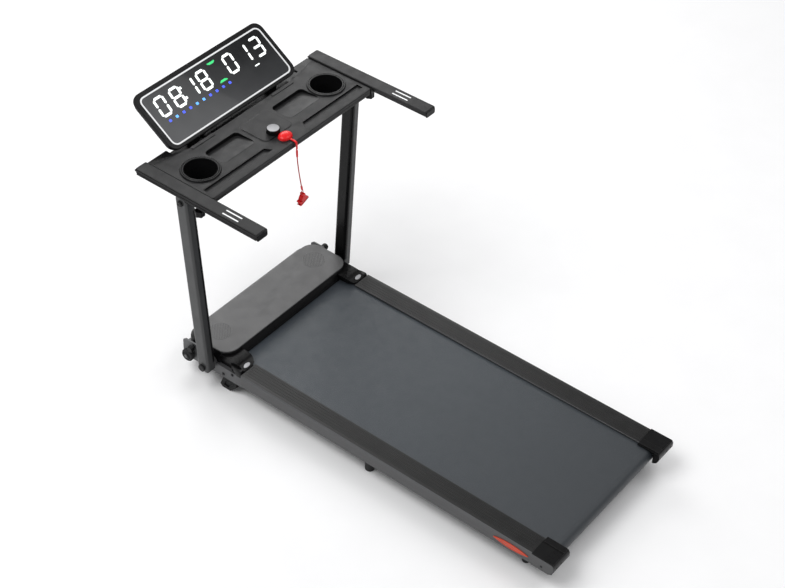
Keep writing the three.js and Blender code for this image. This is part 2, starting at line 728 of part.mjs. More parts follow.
function lugShape() {
  const points = [[462, TRAY_BOTTOM + 1], [412, TRAY_BOTTOM + 1]];
  for (let i = 0; i <= 12; i += 1) {
    const t = Math.PI + Math.PI * i / 12;
    points.push([FOLD_Y + 25 * Math.cos(t), LEVEL_Z + 25 * Math.sin(t)]);
  }
  return points;
}

function consoleTray() {
  const plan = [
    [-TRAY_HALF, TRAY_REAR + 5], [5 - TRAY_HALF, TRAY_REAR], [TRAY_HALF - 5, TRAY_REAR],
    [TRAY_HALF, TRAY_REAR + 5], [TRAY_HALF, CONSOLE_FRONT - 3], [303, CONSOLE_FRONT - 3],
    [196, TRAY_LEDGE], [-196, TRAY_LEDGE], [-303, CONSOLE_FRONT - 3], [-TRAY_HALF, CONSOLE_FRONT - 3],
  ];
  const tilted = [
    [TRAY_REAR, 693], [TRAY_REAR, TRAY_TOP - 2], [TRAY_REAR + 2, TRAY_TOP], [600, TRAY_TOP],
    [600, TRAY_BOTTOM], [TRAY_REAR + 8, TRAY_BOTTOM],
  ];
  const pieces = [
    common(prismZ(plan, 680, 720), prismX(tilted, -400, 400)),
    prismZ(roundRect(-52, 52, 409, 504, 14, 4), TRAY_TOP - 1, TRAY_TOP + 1.6),
    prismZ(roundRect(-180, 180, 382, 520, 16, 4), 668, TRAY_BOTTOM + 1),
  ];
  for (const [, s] of SIDES) {
    pieces.push(box(s * 112, s * 194, 531, TRAY_LEDGE, TRAY_TOP - 1, TRAY_TOP + 1.5));
    pieces.push(prismX(lugShape(), s * 298, s * 306));
  }
  const tools = [cylZ(4.2, KNOB[0], KNOB[1], 698, 720, 20)];
  for (const [, s] of SIDES) {
    tools.push(cylZ(CUP_HOLE_R, s * CUP_X, CUP_Y, 660, 720, 40));
    tools.push(phoneRest(s));
    tools.push(channel(s));
    tools.push(cylX(CONSOLE_HOLE_R, s * 290, s * 310, FOLD_Y, LEVEL_Z, 24));
  }
  return cut(join(...pieces), ...tools);
}

addTo(consoleTop, 'console_tray', consoleTray(), 'greyPlastic');
for (const [side, s] of SIDES) {
  addTo(consoleTop, `arm_${side}`, arm(s), 'greyPlastic');
  addTo(consoleTop, `cup_${side}`, cup(s), 'darkPlastic');
  addTo(consoleTop, `clamp_knob_${side}`, clampKnob(s), 'darkPlastic');
  addTo(consoleTop, `console_bolt_${side}`, mirroredLatheX([
    [0, 288.5], [5, 288.5], [5, 290.5], [8.5, 290.5], [8.5, 297.5], [5, 297.5], [5, 342.6],
    [9, 342.6], [9, 346], [6.5, 347.6], [0, 347.6],
  ], s, FOLD_Y, LEVEL_Z, 24), 'steel');
}

// ---------------------------------------------------------------- display
// screen frame: x across, y along the glass from the lower edge, z out of the glass
function onScreen(geometry) {
  return geometry.rotateX(SCREEN_TILT).translate(0, SCREEN_EDGE[0], SCREEN_EDGE[1]);
}

const ALONG = [Math.cos(SCREEN_TILT), Math.sin(SCREEN_TILT)];
const HINGE_Y = SCREEN_EDGE[0] + HINGE_ALONG * ALONG[0] + HINGE_DEPTH * ALONG[1];
const HINGE_Z = SCREEN_EDGE[1] + HINGE_ALONG * ALONG[1] - HINGE_DEPTH * ALONG[0];

function displayMount() {
  const deck = prismZ([
    [-299, CONSOLE_FRONT + 3], [-195, TRAY_LEDGE + GAP + 0.2], [195, TRAY_LEDGE + GAP + 0.2],
    [299, CONSOLE_FRONT + 3],
  ], 674, 690);
  const parts = [deck];
  const holes = [];
  for (const [, s] of SIDES) {
    const x0 = s * HINGE_X - HINGE_WIDE / 2;
    const x1 = s * HINGE_X + HINGE_WIDE / 2;
    parts.push(cylX(HINGE_R, x0, x1, HINGE_Y, HINGE_Z, 28));
    parts.push(box(x0, x1, HINGE_Y - HINGE_R, HINGE_Y + HINGE_R, 684, HINGE_Z));
    holes.push(cylX(HINGE_PIN_R + GAP, x0 - 1, x1 + 1, HINGE_Y, HINGE_Z, 16));
  }
  return cut(join(...parts), ...holes);
}

function displayHousing() {
  const half = SCREEN_WIDE / 2;
  const face = new THREE.ExtrudeGeometry(
    outline(roundRect(1.5 - half, half - 1.5, 1.5, SCREEN_LONG - 1.5, SCREEN_CORNER - 1.5, 7)),
    { depth: 8, bevelEnabled: true, bevelThickness: 1.5, bevelSize: 1.5, bevelSegments: 2 },
  ).translate(0, 0, -9.5);
  const back = new THREE.ExtrudeGeometry(
    outline(roundRect(10 - half, half - 10, 10, SCREEN_LONG - 11.5, SCREEN_CORNER - 8, 7)),
    { depth: 13, bevelEnabled: true, bevelThickness: 4, bevelSize: 4, bevelSegments: 1 },
  ).translate(0, 0, 4 - SCREEN_THICK);
  const pocket = prismZ(roundRect(
    SCREEN_BORDER - half, half - SCREEN_BORDER, SCREEN_FOOT, SCREEN_LONG - SCREEN_BORDER,
    18, 6), -3, 2);
  const notches = [];
  const pins = [];
  for (const [, s] of SIDES) {
    const x0 = s * HINGE_X - HINGE_WIDE / 2 - 0.5;
    const x1 = s * HINGE_X + HINGE_WIDE / 2 + 0.5;
    notches.push(box(x0, x1, -2, HINGE_ALONG + 30, -SCREEN_THICK - 2, HINGE_R + 0.4 - HINGE_DEPTH));
    pins.push(cylX(HINGE_PIN_R, x0 - 2, x1 + 2, HINGE_ALONG, -HINGE_DEPTH, 16));
  }
  return onScreen(join(cut(join(face, back), pocket, ...notches), ...pins));
}

const GLASS_HALF = SCREEN_WIDE / 2 - SCREEN_BORDER;
const RING_WIDE = 4.5;

function ringOutline(inset, r) {
  return roundRect(
    inset - GLASS_HALF, GLASS_HALF - inset, SCREEN_FOOT + inset, SCREEN_LONG - SCREEN_BORDER - inset,
    r, 6);
}

addTo(consoleTop, 'display_mount', displayMount(), 'darkPlastic');
addTo(consoleTop, 'display_housing', displayHousing(), 'darkPlastic');
addTo(consoleTop, 'display_ring', onScreen(cut(
  prismZ(ringOutline(GAP, 17.7), GAP - 3, 0.4),
  prismZ(ringOutline(RING_WIDE, 14), -4, 2),
)), 'white');
addTo(consoleTop, 'display_glass', onScreen(
  prismZ(ringOutline(RING_WIDE + GAP, 13.7), GAP - 3, -0.1)), 'glass');

// ---------------------------------------------------------------- knob, safety key, lanyard
addTo(consoleTop, 'speed_knob', latheZ([
  [0, 699], [3.6, 699], [3.6, 711.6], [18, 711.6], [18.5, 712.5], [18, 723], [17, 724.5], [0, 724.5],
], KNOB[0], KNOB[1], 40), 'darkPlastic');

function keyDome() {
  const r = 18;
  const profile = [[0, 0], [r, 0]];
  for (let i = 1; i < 7; i += 1) {
    const t = (Math.PI / 2) * i / 7;
    profile.push([r * Math.cos(t), 3 + 9 * Math.sin(t)]);
  }
  profile.push([0, 12]);
  return latheZ(profile, 0, 0, 28).scale(1.16, 0.94, 1).translate(KEY[0], KEY[1], TRAY_TOP + GAP);
}

// flat tongue that leaves the key, runs over the tray edge and turns down
function keyStrap() {
  const z = TRAY_TOP + GAP;
  const thick = 2.2;
  const top = [[KEY[1] - 8, z + 1], [STRAP_Y + 8, z + 1], [STRAP_Y + 2.5, z - 1.5], [STRAP_Y + 1, z - 7], [STRAP_Y + 1, 688]];
  const back = [
    [STRAP_Y - thick + 1, 688], [STRAP_Y - thick + 1, z - 6], [STRAP_Y, z + 0.8], [STRAP_Y + 6, z + 1 + thick],
    [KEY[1] - 8, z + 1 + thick],
  ];
  return prismX([...top, ...back], KEY[0] - 3, KEY[0] + 3);
}

addTo(consoleTop, 'safety_key', join(keyDome(), keyStrap()), 'red');

const CORD_TOP = 686;
const CORD_END = 536;
class Hang extends THREE.Curve {
  getPoint(t, target = new THREE.Vector3()) {
    const drop = CORD_TOP + (CORD_END - CORD_TOP) * t;
    const sway = 20 * t * t;
    return target.set(KEY[0] + sway, STRAP_Y - 0.1 - 3 * Math.sin(Math.PI * t) * t, drop);
  }
}
addTo(consoleTop, 'lanyard', new THREE.ExtrudeGeometry(
  outline(Array.from({ length: 8 }, (_, i) => [
    CORD_R * Math.cos(Math.PI * i / 4), CORD_R * Math.sin(Math.PI * i / 4)])),
  { steps: 24, extrudePath: new Hang(), bevelEnabled: false },
), 'red');

function lanyardClip() {
  const x = KEY[0] + 20;
  const jaw = [
    [x - 17, 503], [x - 14, 500.5], [x + 14, 511], [x + 18, 515], [x + 12, 519], [x + 5, 524],
    [x + 3.2, CORD_END - 1], [x - 3.2, CORD_END - 1], [x - 8, 524], [x - 12, 513],
  ];
  const slit = [[x - 20, 505.5], [x - 20, 504], [x + 8, 514], [x + 8, 515.5]];
  return cut(prismY(jaw, STRAP_Y - 7, STRAP_Y + 7), prismY(slit, STRAP_Y - 8, STRAP_Y + 8));
}
addTo(consoleTop, 'lanyard_clip', lanyardClip(), 'red');

export default group;
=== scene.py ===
"""Looks of the folding treadmill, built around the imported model. Blender 4.5.

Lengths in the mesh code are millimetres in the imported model's frame: +X is the user's right,
+Y points to the console end, +Z is up and the floor is z = 0. Shape.make() turns them to metres.
"""
import math

import bmesh
import bpy
from mathutils import Matrix, Vector


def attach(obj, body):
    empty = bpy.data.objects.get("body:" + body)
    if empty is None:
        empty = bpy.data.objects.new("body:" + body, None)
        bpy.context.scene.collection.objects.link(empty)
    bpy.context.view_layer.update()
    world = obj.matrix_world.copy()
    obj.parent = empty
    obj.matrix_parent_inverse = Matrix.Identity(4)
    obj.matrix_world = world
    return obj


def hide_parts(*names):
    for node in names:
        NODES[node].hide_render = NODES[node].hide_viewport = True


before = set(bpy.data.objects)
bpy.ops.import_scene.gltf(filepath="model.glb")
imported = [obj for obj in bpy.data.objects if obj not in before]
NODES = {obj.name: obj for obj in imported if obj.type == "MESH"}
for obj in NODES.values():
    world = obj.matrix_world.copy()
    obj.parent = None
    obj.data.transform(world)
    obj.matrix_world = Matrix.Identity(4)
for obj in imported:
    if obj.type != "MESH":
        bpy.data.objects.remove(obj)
bpy.context.view_layer.update()
SIDES = (("left", -1), ("right", 1))
MM = 0.001
SCENE = bpy.context.scene


# ---------------------------------------------------------------- camera
# Place in metres, angles in radians, lens and sensor in millimetres.
CAMERA_AT = Vector((-2.66646, -2.01711, 3.37204))
CAMERA_YAW = 0.916857
CAMERA_PITCH = 0.728568
CAMERA_ROLL = 0.030745
CAMERA_LENS = 79.195
CAMERA_SENSOR = 36
CAMERA_REACH = 60


def add_camera():
    forward = Vector((
        math.sin(CAMERA_YAW) * math.cos(CAMERA_PITCH),
        math.cos(CAMERA_YAW) * math.cos(CAMERA_PITCH),
        -math.sin(CAMERA_PITCH)))
    right = Vector((math.cos(CAMERA_YAW), -math.sin(CAMERA_YAW), 0))
    up = right.cross(forward)
    c, s = math.cos(CAMERA_ROLL), math.sin(CAMERA_ROLL)
    side, top = right * c + up * s, up * c - right * s
    turn = Matrix((side, top, -forward)).transposed().to_4x4()
    data = bpy.data.cameras.new("view")
    data.lens = CAMERA_LENS
    data.sensor_width = CAMERA_SENSOR
    data.clip_end = CAMERA_REACH
    camera = bpy.data.objects.new("view", data)
    SCENE.collection.objects.link(camera)
    camera.matrix_world = Matrix.Translation(CAMERA_AT) @ turn
    SCENE.camera = camera


add_camera()


# ---------------------------------------------------------------- materials
CLOUD_SCALE = 7.0  # slow drift of tone, features per metre
PATCH_SCALE = 38.0  # patches of gloss and wear
UNEVEN = 0.07  # how far roughness strays from its middle
EDGE_WEAR_AND_HIGHLIGHT_REACH = 0.0009  # reach of a lighter edge, part wear and part painted highlight, metres
EDGE_LIFT_START, EDGE_LIFT_FULL = 0.995, 0.90  # cosine between a rounded edge's normal and the face's own, where the lighter edge (part wear, part painted highlight) begins and is full
SPECKLED, RUBBED_AND_HIGHLIT = (2.6, 0.02), (3.2, 0.05)  # factor on the colour, and what is added
COAT_ROUGH = 0.12
BELT_DIAMOND = 0.0026  # pitch of the belt's pattern, metres
# Colour of the display glass, and the lighter colour of the painted reflection across its lower
# left.
GLASS_DARK = (0.003, 0.0035, 0.0045)
GLASS_PAINTED_REFLECTION = (0.062, 0.064, 0.068)
MATERIALS = {}


def new_material(name):
    """Registers a material; returns its node tree, its shader and the object coordinates."""
    material = bpy.data.materials.new(name)
    material.use_nodes = True
    MATERIALS[name] = material
    tree = material.node_tree
    where = tree.nodes.new("ShaderNodeTexCoord").outputs["Object"]
    return tree, tree.nodes["Principled BSDF"], where


def node(tree, kind, **values):
    n = tree.nodes.new(kind)
    for key, value in values.items():
        if hasattr(n, key):
            setattr(n, key, value)
        else:
            n.inputs[key.replace("_", " ")].default_value = value
    return n


def ramp(tree, source, low, high, out_low, out_high):
    n = node(tree, "ShaderNodeMapRange")
    for i, value in enumerate((low, high, out_low, out_high)):
        n.inputs[i + 1].default_value = value
    tree.links.new(source, n.inputs[0])
    return n.outputs[0]


def spread(tree, source, low, high):
    """The middle of a noise, 0.3 to 0.7, stretched from low to high."""
    return ramp(tree, source, 0.3, 0.7, low, high)


def axes(tree, where):
    """The x, y and z sockets of a position."""
    split = tree.nodes.new("ShaderNodeSeparateXYZ")
    tree.links.new(where, split.inputs[0])
    return split.outputs


def mixed(tree, factor, a, b):
    """Mix of two colours, each a socket or three numbers, by a factor's socket."""
    n = tree.nodes.new("ShaderNodeMix")
    n.data_type = "RGBA"
    for socket, value in ((n.inputs[0], factor), (n.inputs[6], a), (n.inputs[7], b)):
        if isinstance(value, bpy.types.NodeSocket):
            tree.links.new(value, socket)
        else:
            socket.default_value = (*value, 1)
    return n.outputs[2]


def math_node(tree, operation, a, b=0.0):
    n = tree.nodes.new("ShaderNodeMath")
    n.operation = operation
    for socket, value in ((n.inputs[0], a), (n.inputs[1], b)):
        if isinstance(value, bpy.types.NodeSocket):
            tree.links.new(value, socket)
        else:
            socket.default_value = value
    return n.outputs[0]


def noise(tree, where, scale, detail, stretch=(1, 1, 1)):
    m = tree.nodes.new("ShaderNodeMapping")
    m.inputs["Scale"].default_value = stretch
    tree.links.new(where, m.inputs[0])
    n = node(tree, "ShaderNodeTexNoise", Scale=scale, Detail=detail)
    tree.links.new(m.outputs[0], n.inputs["Vector"])
    return n.outputs[0]


def set_shader(shader, **values):
    for key, value in values.items():
        shader.inputs[key.replace("_", " ")].default_value = value


def add_bump(tree, shader, height, strength, distance):
    bump = node(tree, "ShaderNodeBump", Strength=strength, Distance=distance)
    tree.links.new(height, bump.inputs["Height"])
    tree.links.new(bump.outputs[0], shader.inputs["Normal"])


def lifted(colour, factor, more):
    return [min(1, c * factor + more) for c in colour]


def finish(name, colour, rough, metal, drift, grain, depth, stretch=(1, 1, 1), wear=0.0,
           coat=0.0, specular=0.5, speckle=0.0, extra=None, fade=None):
    """Moulded, painted or metal surface: grain, drift of tone, uneven gloss, lighter edges that are
    partly worn and partly a painted highlight, and an optional painted sheen along y.

    The fade (y from, y to, factor) is a painted sheen: the tone goes to factor times the colour
    between two y in metres, so one end looks lit and the other shaded. extra makes the bump's
    height from the grain.
    """
    t, shader, where = new_material(name)
    cloud = noise(t, where, CLOUD_SCALE, 5.0)
    fine = noise(t, where, grain, 2.0, stretch)
    patch = noise(t, where, PATCH_SCALE, 4.0, stretch)
    dark = [c * (1 - drift) for c in colour]
    light = [c * (1 + drift) for c in colour]
    tone = mixed(t, spread(t, cloud, 0, 1), dark, light)
    if speckle:
        tone = mixed(t, ramp(t, fine, 0.35, 0.7, 0, speckle), tone, lifted(colour, *SPECKLED))
    # Painted sheen: the tone fades along y, lighter at one end as if lit and darker at the other.
    if fade:
        start, end, factor = fade
        share = ramp(t, axes(t, where)[1], start, end, 0, 1)
        tone = mixed(t, share, tone, [c * factor for c in colour])
    # Lighter rounded edges: partly wear, partly a painted highlight where the edges would catch the
    # light.
    if wear:
        edge = node(t, "ShaderNodeBevel", samples=4, Radius=EDGE_WEAR_AND_HIGHLIGHT_REACH)
        flat = t.nodes.new("ShaderNodeNewGeometry")
        dot = t.nodes.new("ShaderNodeVectorMath")
        dot.operation = "DOT_PRODUCT"
        t.links.new(edge.outputs[0], dot.inputs[0])
        t.links.new(flat.outputs["Normal"], dot.inputs[1])
        rim = ramp(t, dot.outputs["Value"], EDGE_LIFT_START, EDGE_LIFT_FULL, 0, 1)
        worn_and_highlit = math_node(t, "MULTIPLY", rim, ramp(t, patch, 0.35, 0.65, wear * 0.35, wear))
        tone = mixed(t, worn_and_highlit, tone, lifted(colour, *RUBBED_AND_HIGHLIT))
    t.links.new(tone, shader.inputs["Base Color"])
    gloss = spread(t, patch, max(0.02, rough - UNEVEN), min(1, rough + UNEVEN))
    t.links.new(gloss, shader.inputs["Roughness"])
    set_shader(shader, Metallic=metal, Specular_IOR_Level=specular, Coat_Weight=coat,
               Coat_Roughness=COAT_ROUGH)
    add_bump(t, shader, extra(t, where, fine) if extra else fine, 1.0, depth)


def belt_weave(t, where, fine):
    """Small diamond pattern of a walking belt, with fine grain over it."""
    x, y, _ = axes(t, where)
    cycle = 2 * math.pi / BELT_DIAMOND
    waves = [math_node(t, "SINE", math_node(t, "MULTIPLY", math_node(t, sign, x, y), cycle))
             for sign in ("ADD", "SUBTRACT")]
    cross = math_node(t, "MULTIPLY", waves[0], waves[1])
    return math_node(t, "ADD", math_node(t, "MULTIPLY", cross, 0.35), fine)


def display_glass():
    """Dark glossy front glass with a painted reflection that makes it lighter towards its lower
    left.
    """
    t, shader, where = new_material("display_glass")
    x, _, z = axes(t, where)
    across = ramp(t, x, -0.22, 0.18, 0.50, 0.0)
    down = ramp(t, z, 0.79, 0.72, 0.0, 0.50)
    smear = spread(t, noise(t, where, 9, 4), -0.05, 0.05)
    # Painted reflection: how far the glass is lightened towards its lower left.
    share = math_node(t, "ADD", math_node(t, "ADD", across, down), smear)
    t.links.new(mixed(t, share, GLASS_DARK, GLASS_PAINTED_REFLECTION), shader.inputs["Base Color"])
    t.links.new(spread(t, noise(t, where, 30, 4), 0.10, 0.20), shader.inputs["Roughness"])
    set_shader(shader, Specular_IOR_Level=0.2, Coat_Weight=0.2, Coat_Roughness=0.03)
    add_bump(t, shader, noise(t, where, 600, 2), 0.4, 0.00001)


def lit(name, colour, strength):
    """Lamp segment behind the glass: bright and a little uneven."""
    t, shader, where = new_material(name)
    dim = [c * 0.86 for c in colour]
    glow = mixed(t, spread(t, noise(t, where, 160, 3), 0, 1), dim, colour)
    t.links.new(glow, shader.inputs["Base Color"])
    t.links.new(glow, shader.inputs["Emission Color"])
    t.links.new(spread(t, noise(t, where, 90, 2), 0.2, 0.4), shader.inputs["Roughness"])
    set_shader(shader, Emission_Strength=strength)
    add_bump(t, shader, noise(t, where, 900, 2), 0.3, 0.00002)


# Name, colour, roughness, metal, drift of tone, grain per metre, grain depth in metres.
finish("rail_aluminium", (0.088, 0.089, 0.091), 0.42, 0.45, 0.08, 900, 0.00003, (14, 0.6, 14),
       wear=0.30)
# Standing strip rubber; its fade is a painted sheen, lighter at the front and darker towards the
# rear.
finish("tread_rubber", (0.035, 0.0348, 0.0348), 0.50, 0, 0.15, 1500, 0.00005,
       wear=0.22, specular=0.30, speckle=0.15, fade=(0.25, -0.60, 0.28))
finish("frame_steel", (0.090, 0.091, 0.094), 0.42, 0.2, 0.10, 1800, 0.00006, wear=0.35)
finish("post_paint", (0.041, 0.042, 0.043), 0.36, 0.1, 0.07, 2200, 0.00003,
       wear=0.30, coat=0.1, speckle=0.16, specular=0.3)
finish("black_plastic", (0.0042, 0.0042, 0.0045), 0.30, 0, 0.15, 2000, 0.00004,
       wear=0.22, coat=0.04, specular=0.16)
finish("console_plastic", (0.0135, 0.0135, 0.0140), 0.44, 0, 0.10, 1500, 0.00009,
       wear=0.30, speckle=0.10, specular=0.22)
finish("cover_plastic", (0.102, 0.102, 0.103), 0.46, 0, 0.05, 1700, 0.00007,
       wear=0.25, speckle=0.06, specular=0.4)
finish("black_rubber", (0.010, 0.010, 0.011), 0.75, 0, 0.2, 800, 0.00012, wear=0.2)
# Belt rubber; its fade is a painted sheen, lighter at the front end and darker towards the rear.
finish("belt_rubber", (0.046, 0.055, 0.065), 0.42, 0, 0.07, 900, 0.00022,
       wear=0.1, speckle=0.14, extra=belt_weave, fade=(0.36, -0.66, 0.58))
finish("roller_steel", (0.42, 0.42, 0.43), 0.32, 1.0, 0.08, 600, 0.00002, (1, 20, 20), wear=0.2)
finish("black_steel", (0.020, 0.020, 0.021), 0.38, 0.6, 0.12, 900, 0.00004, wear=0.35)
finish("silver_trim", (0.34, 0.34, 0.35), 0.34, 1.0, 0.04, 900, 0.00001, wear=0.2)
finish("knob_disc", (0.26, 0.26, 0.27), 0.38, 0.3, 0.05, 900, 0.00002, wear=0.2)
finish("deck_board", (0.016, 0.015, 0.014), 0.60, 0, 0.2, 300, 0.00010, (12, 1, 12), wear=0.2)
finish("electronics", (0.020, 0.12, 0.055), 0.50, 0, 0.2, 400, 0.00010, wear=0.4)
finish("white_trim", (0.86, 0.87, 0.88), 0.28, 0, 0.03, 1200, 0.00001, wear=0.1)
finish("red_plastic", (0.74, 0.010, 0.012), 0.30, 0, 0.06, 1100, 0.00003,
       wear=0.12, coat=0.08, specular=0.3)
finish("red_cord", (0.52, 0.016, 0.018), 0.45, 0, 0.12, 1500, 0.00012, (1, 1, 0.4))
finish("orange_lens", (0.66, 0.060, 0.018), 0.18, 0, 0.15, 500, 0.00005, wear=0.12, coat=0.5)
finish("floor", (0.93, 0.93, 0.935), 0.60, 0, 0.010, 300, 0.00002, specular=0.3)
display_glass()
lit("segment_white", (0.93, 0.97, 0.96), 0.75)
lit("pill_green", (0.03, 0.62, 0.18), 0.55)
lit("dot_blue", (0.045, 0.085, 0.75), 1.0)
lit("dot_cyan", (0.10, 0.38, 0.95), 1.0)


# ---------------------------------------------------------------- mesh helpers
SMOOTH_ANGLE = 38  # degrees; sharper edges stay crisp
BEVEL_ANGLE = 32  # degrees; flatter edges aren't rounded
FLAT_ANGLE = 0.6  # degrees; facets this close are one face
WELD_REACH = 0.00001  # metres
FACE_WEIGHT = 90


def smoothing_tree():
    """Geometry nodes that shade faces smooth and keep sharp edges crisp."""
    tree = bpy.data.node_groups.new(f"smooth_{SMOOTH_ANGLE}", "GeometryNodeTree")
    for way in ("INPUT", "OUTPUT"):
        tree.interface.new_socket("Geometry", in_out=way, socket_type="NodeSocketGeometry")
    start = tree.nodes.new("NodeGroupInput")
    end = tree.nodes.new("NodeGroupOutput")
    drop = tree.nodes.new("GeometryNodeRemoveAttribute")
    drop.inputs["Name"].default_value = "custom_normal"
    face = tree.nodes.new("GeometryNodeSetShadeSmooth")
    face.domain = "FACE"
    edge = tree.nodes.new("GeometryNodeSetShadeSmooth")
    edge.domain = "EDGE"
    angle = tree.nodes.new("GeometryNodeInputMeshEdgeAngle")
    test = tree.nodes.new("FunctionNodeCompare")
    test.data_type = "FLOAT"
    test.operation = "LESS_EQUAL"
    test.inputs[1].default_value = math.radians(SMOOTH_ANGLE)
    link = tree.links.new
    link(start.outputs[0], drop.inputs["Geometry"])
    link(drop.outputs[0], face.inputs["Geometry"])
    link(face.outputs[0], edge.inputs["Geometry"])
    link(angle.outputs[0], test.inputs[0])
    link(test.outputs[0], edge.inputs["Shade Smooth"])
    link(edge.outputs[0], end.inputs[0])
    return tree


SMOOTH = smoothing_tree()


def soften(ob, width, segments=2, cad=False):
    """Rounds a piece's edges by width millimetres and shades it smooth between crisp edges."""
    if cad:
        weld = ob.modifiers.new("weld", "WELD")
        weld.merge_threshold = WELD_REACH
        flat = ob.modifiers.new("flat", "DECIMATE")
        flat.decimate_type = "DISSOLVE"
        flat.angle_limit = math.radians(FLAT_ANGLE)
    if width:
        bevel = ob.modifiers.new("bevel", "BEVEL")
        bevel.width = width * MM
        bevel.segments = segments
        bevel.limit_method = "ANGLE"
        bevel.angle_limit = math.radians(BEVEL_ANGLE)
        bevel.miter_outer = "MITER_ARC"
    shade = ob.modifiers.new("smooth", "NODES")
    shade.node_group = SMOOTH
    weight = ob.modifiers.new("weight", "WEIGHTED_NORMAL")
    weight.weight = FACE_WEIGHT
    weight.keep_sharp = True


def angles(n):
    return [2 * math.pi * i / n for i in range(n)]


def circle(cx, cy, r, n, turn=0.0):
    return [(cx + r * math.cos(turn + t), cy + r * math.sin(turn + t)) for t in angles(n)]


def slab(x0, x1, y0, y1):
    return [(x0, y0), (x1, y0), (x1, y1), (x0, y1)]


def round_rect(x0, x1, y0, y1, r, n):
    """Rectangle whose corners are quarter circles of radius r in n steps."""
    points = []
    corners = ((x1 - r, y1 - r), (x0 + r, y1 - r), (x0 + r, y0 + r), (x1 - r, y0 + r))
    for quarter, (cx, cy) in enumerate(corners):
        for i in range(n + 1):
            t = (quarter + i / n) * math.pi / 2
            points.append((cx + r * math.cos(t), cy + r * math.sin(t)))
    return points


def flip(s, *outline):
    """The outline on the right, s = 1, or its mirror image on the left, s = -1."""
    return [(s * x, y) for x, y in outline]


def turned(angle, outline, cx=0, cy=0):
    """The outline turned about its origin and moved to (cx, cy)."""
    c, d = math.cos(angle), math.sin(angle)
    return [(cx + c * a - d * b, cy + d * a + c * b) for a, b in outline]


def walls(n, low, high):
    """Quads between two closed rows of n points, which start at the indices low and high."""
    return [[low + i, low + (i + 1) % n, high + (i + 1) % n, high + i] for i in range(n)]


def at(x, y):
    return Matrix.Translation((x, y, 0))


def along_x(s, y=0, z=0):
    """Local x, y, z lie along the model's y, z and s times x, from (0, y, z)."""
    return Matrix(((0, 0, s, 0), (1, 0, 0, y), (0, 1, 0, z), (0, 0, 0, 1)))


def along_y(x=0, y=0, z=0, s=1):
    """Local x, y, z lie along the model's x, z and s times y, from (x, y, z)."""
    return Matrix(((1, 0, 0, x), (0, 0, s, y), (0, 1, 0, z), (0, 0, 0, 1)))


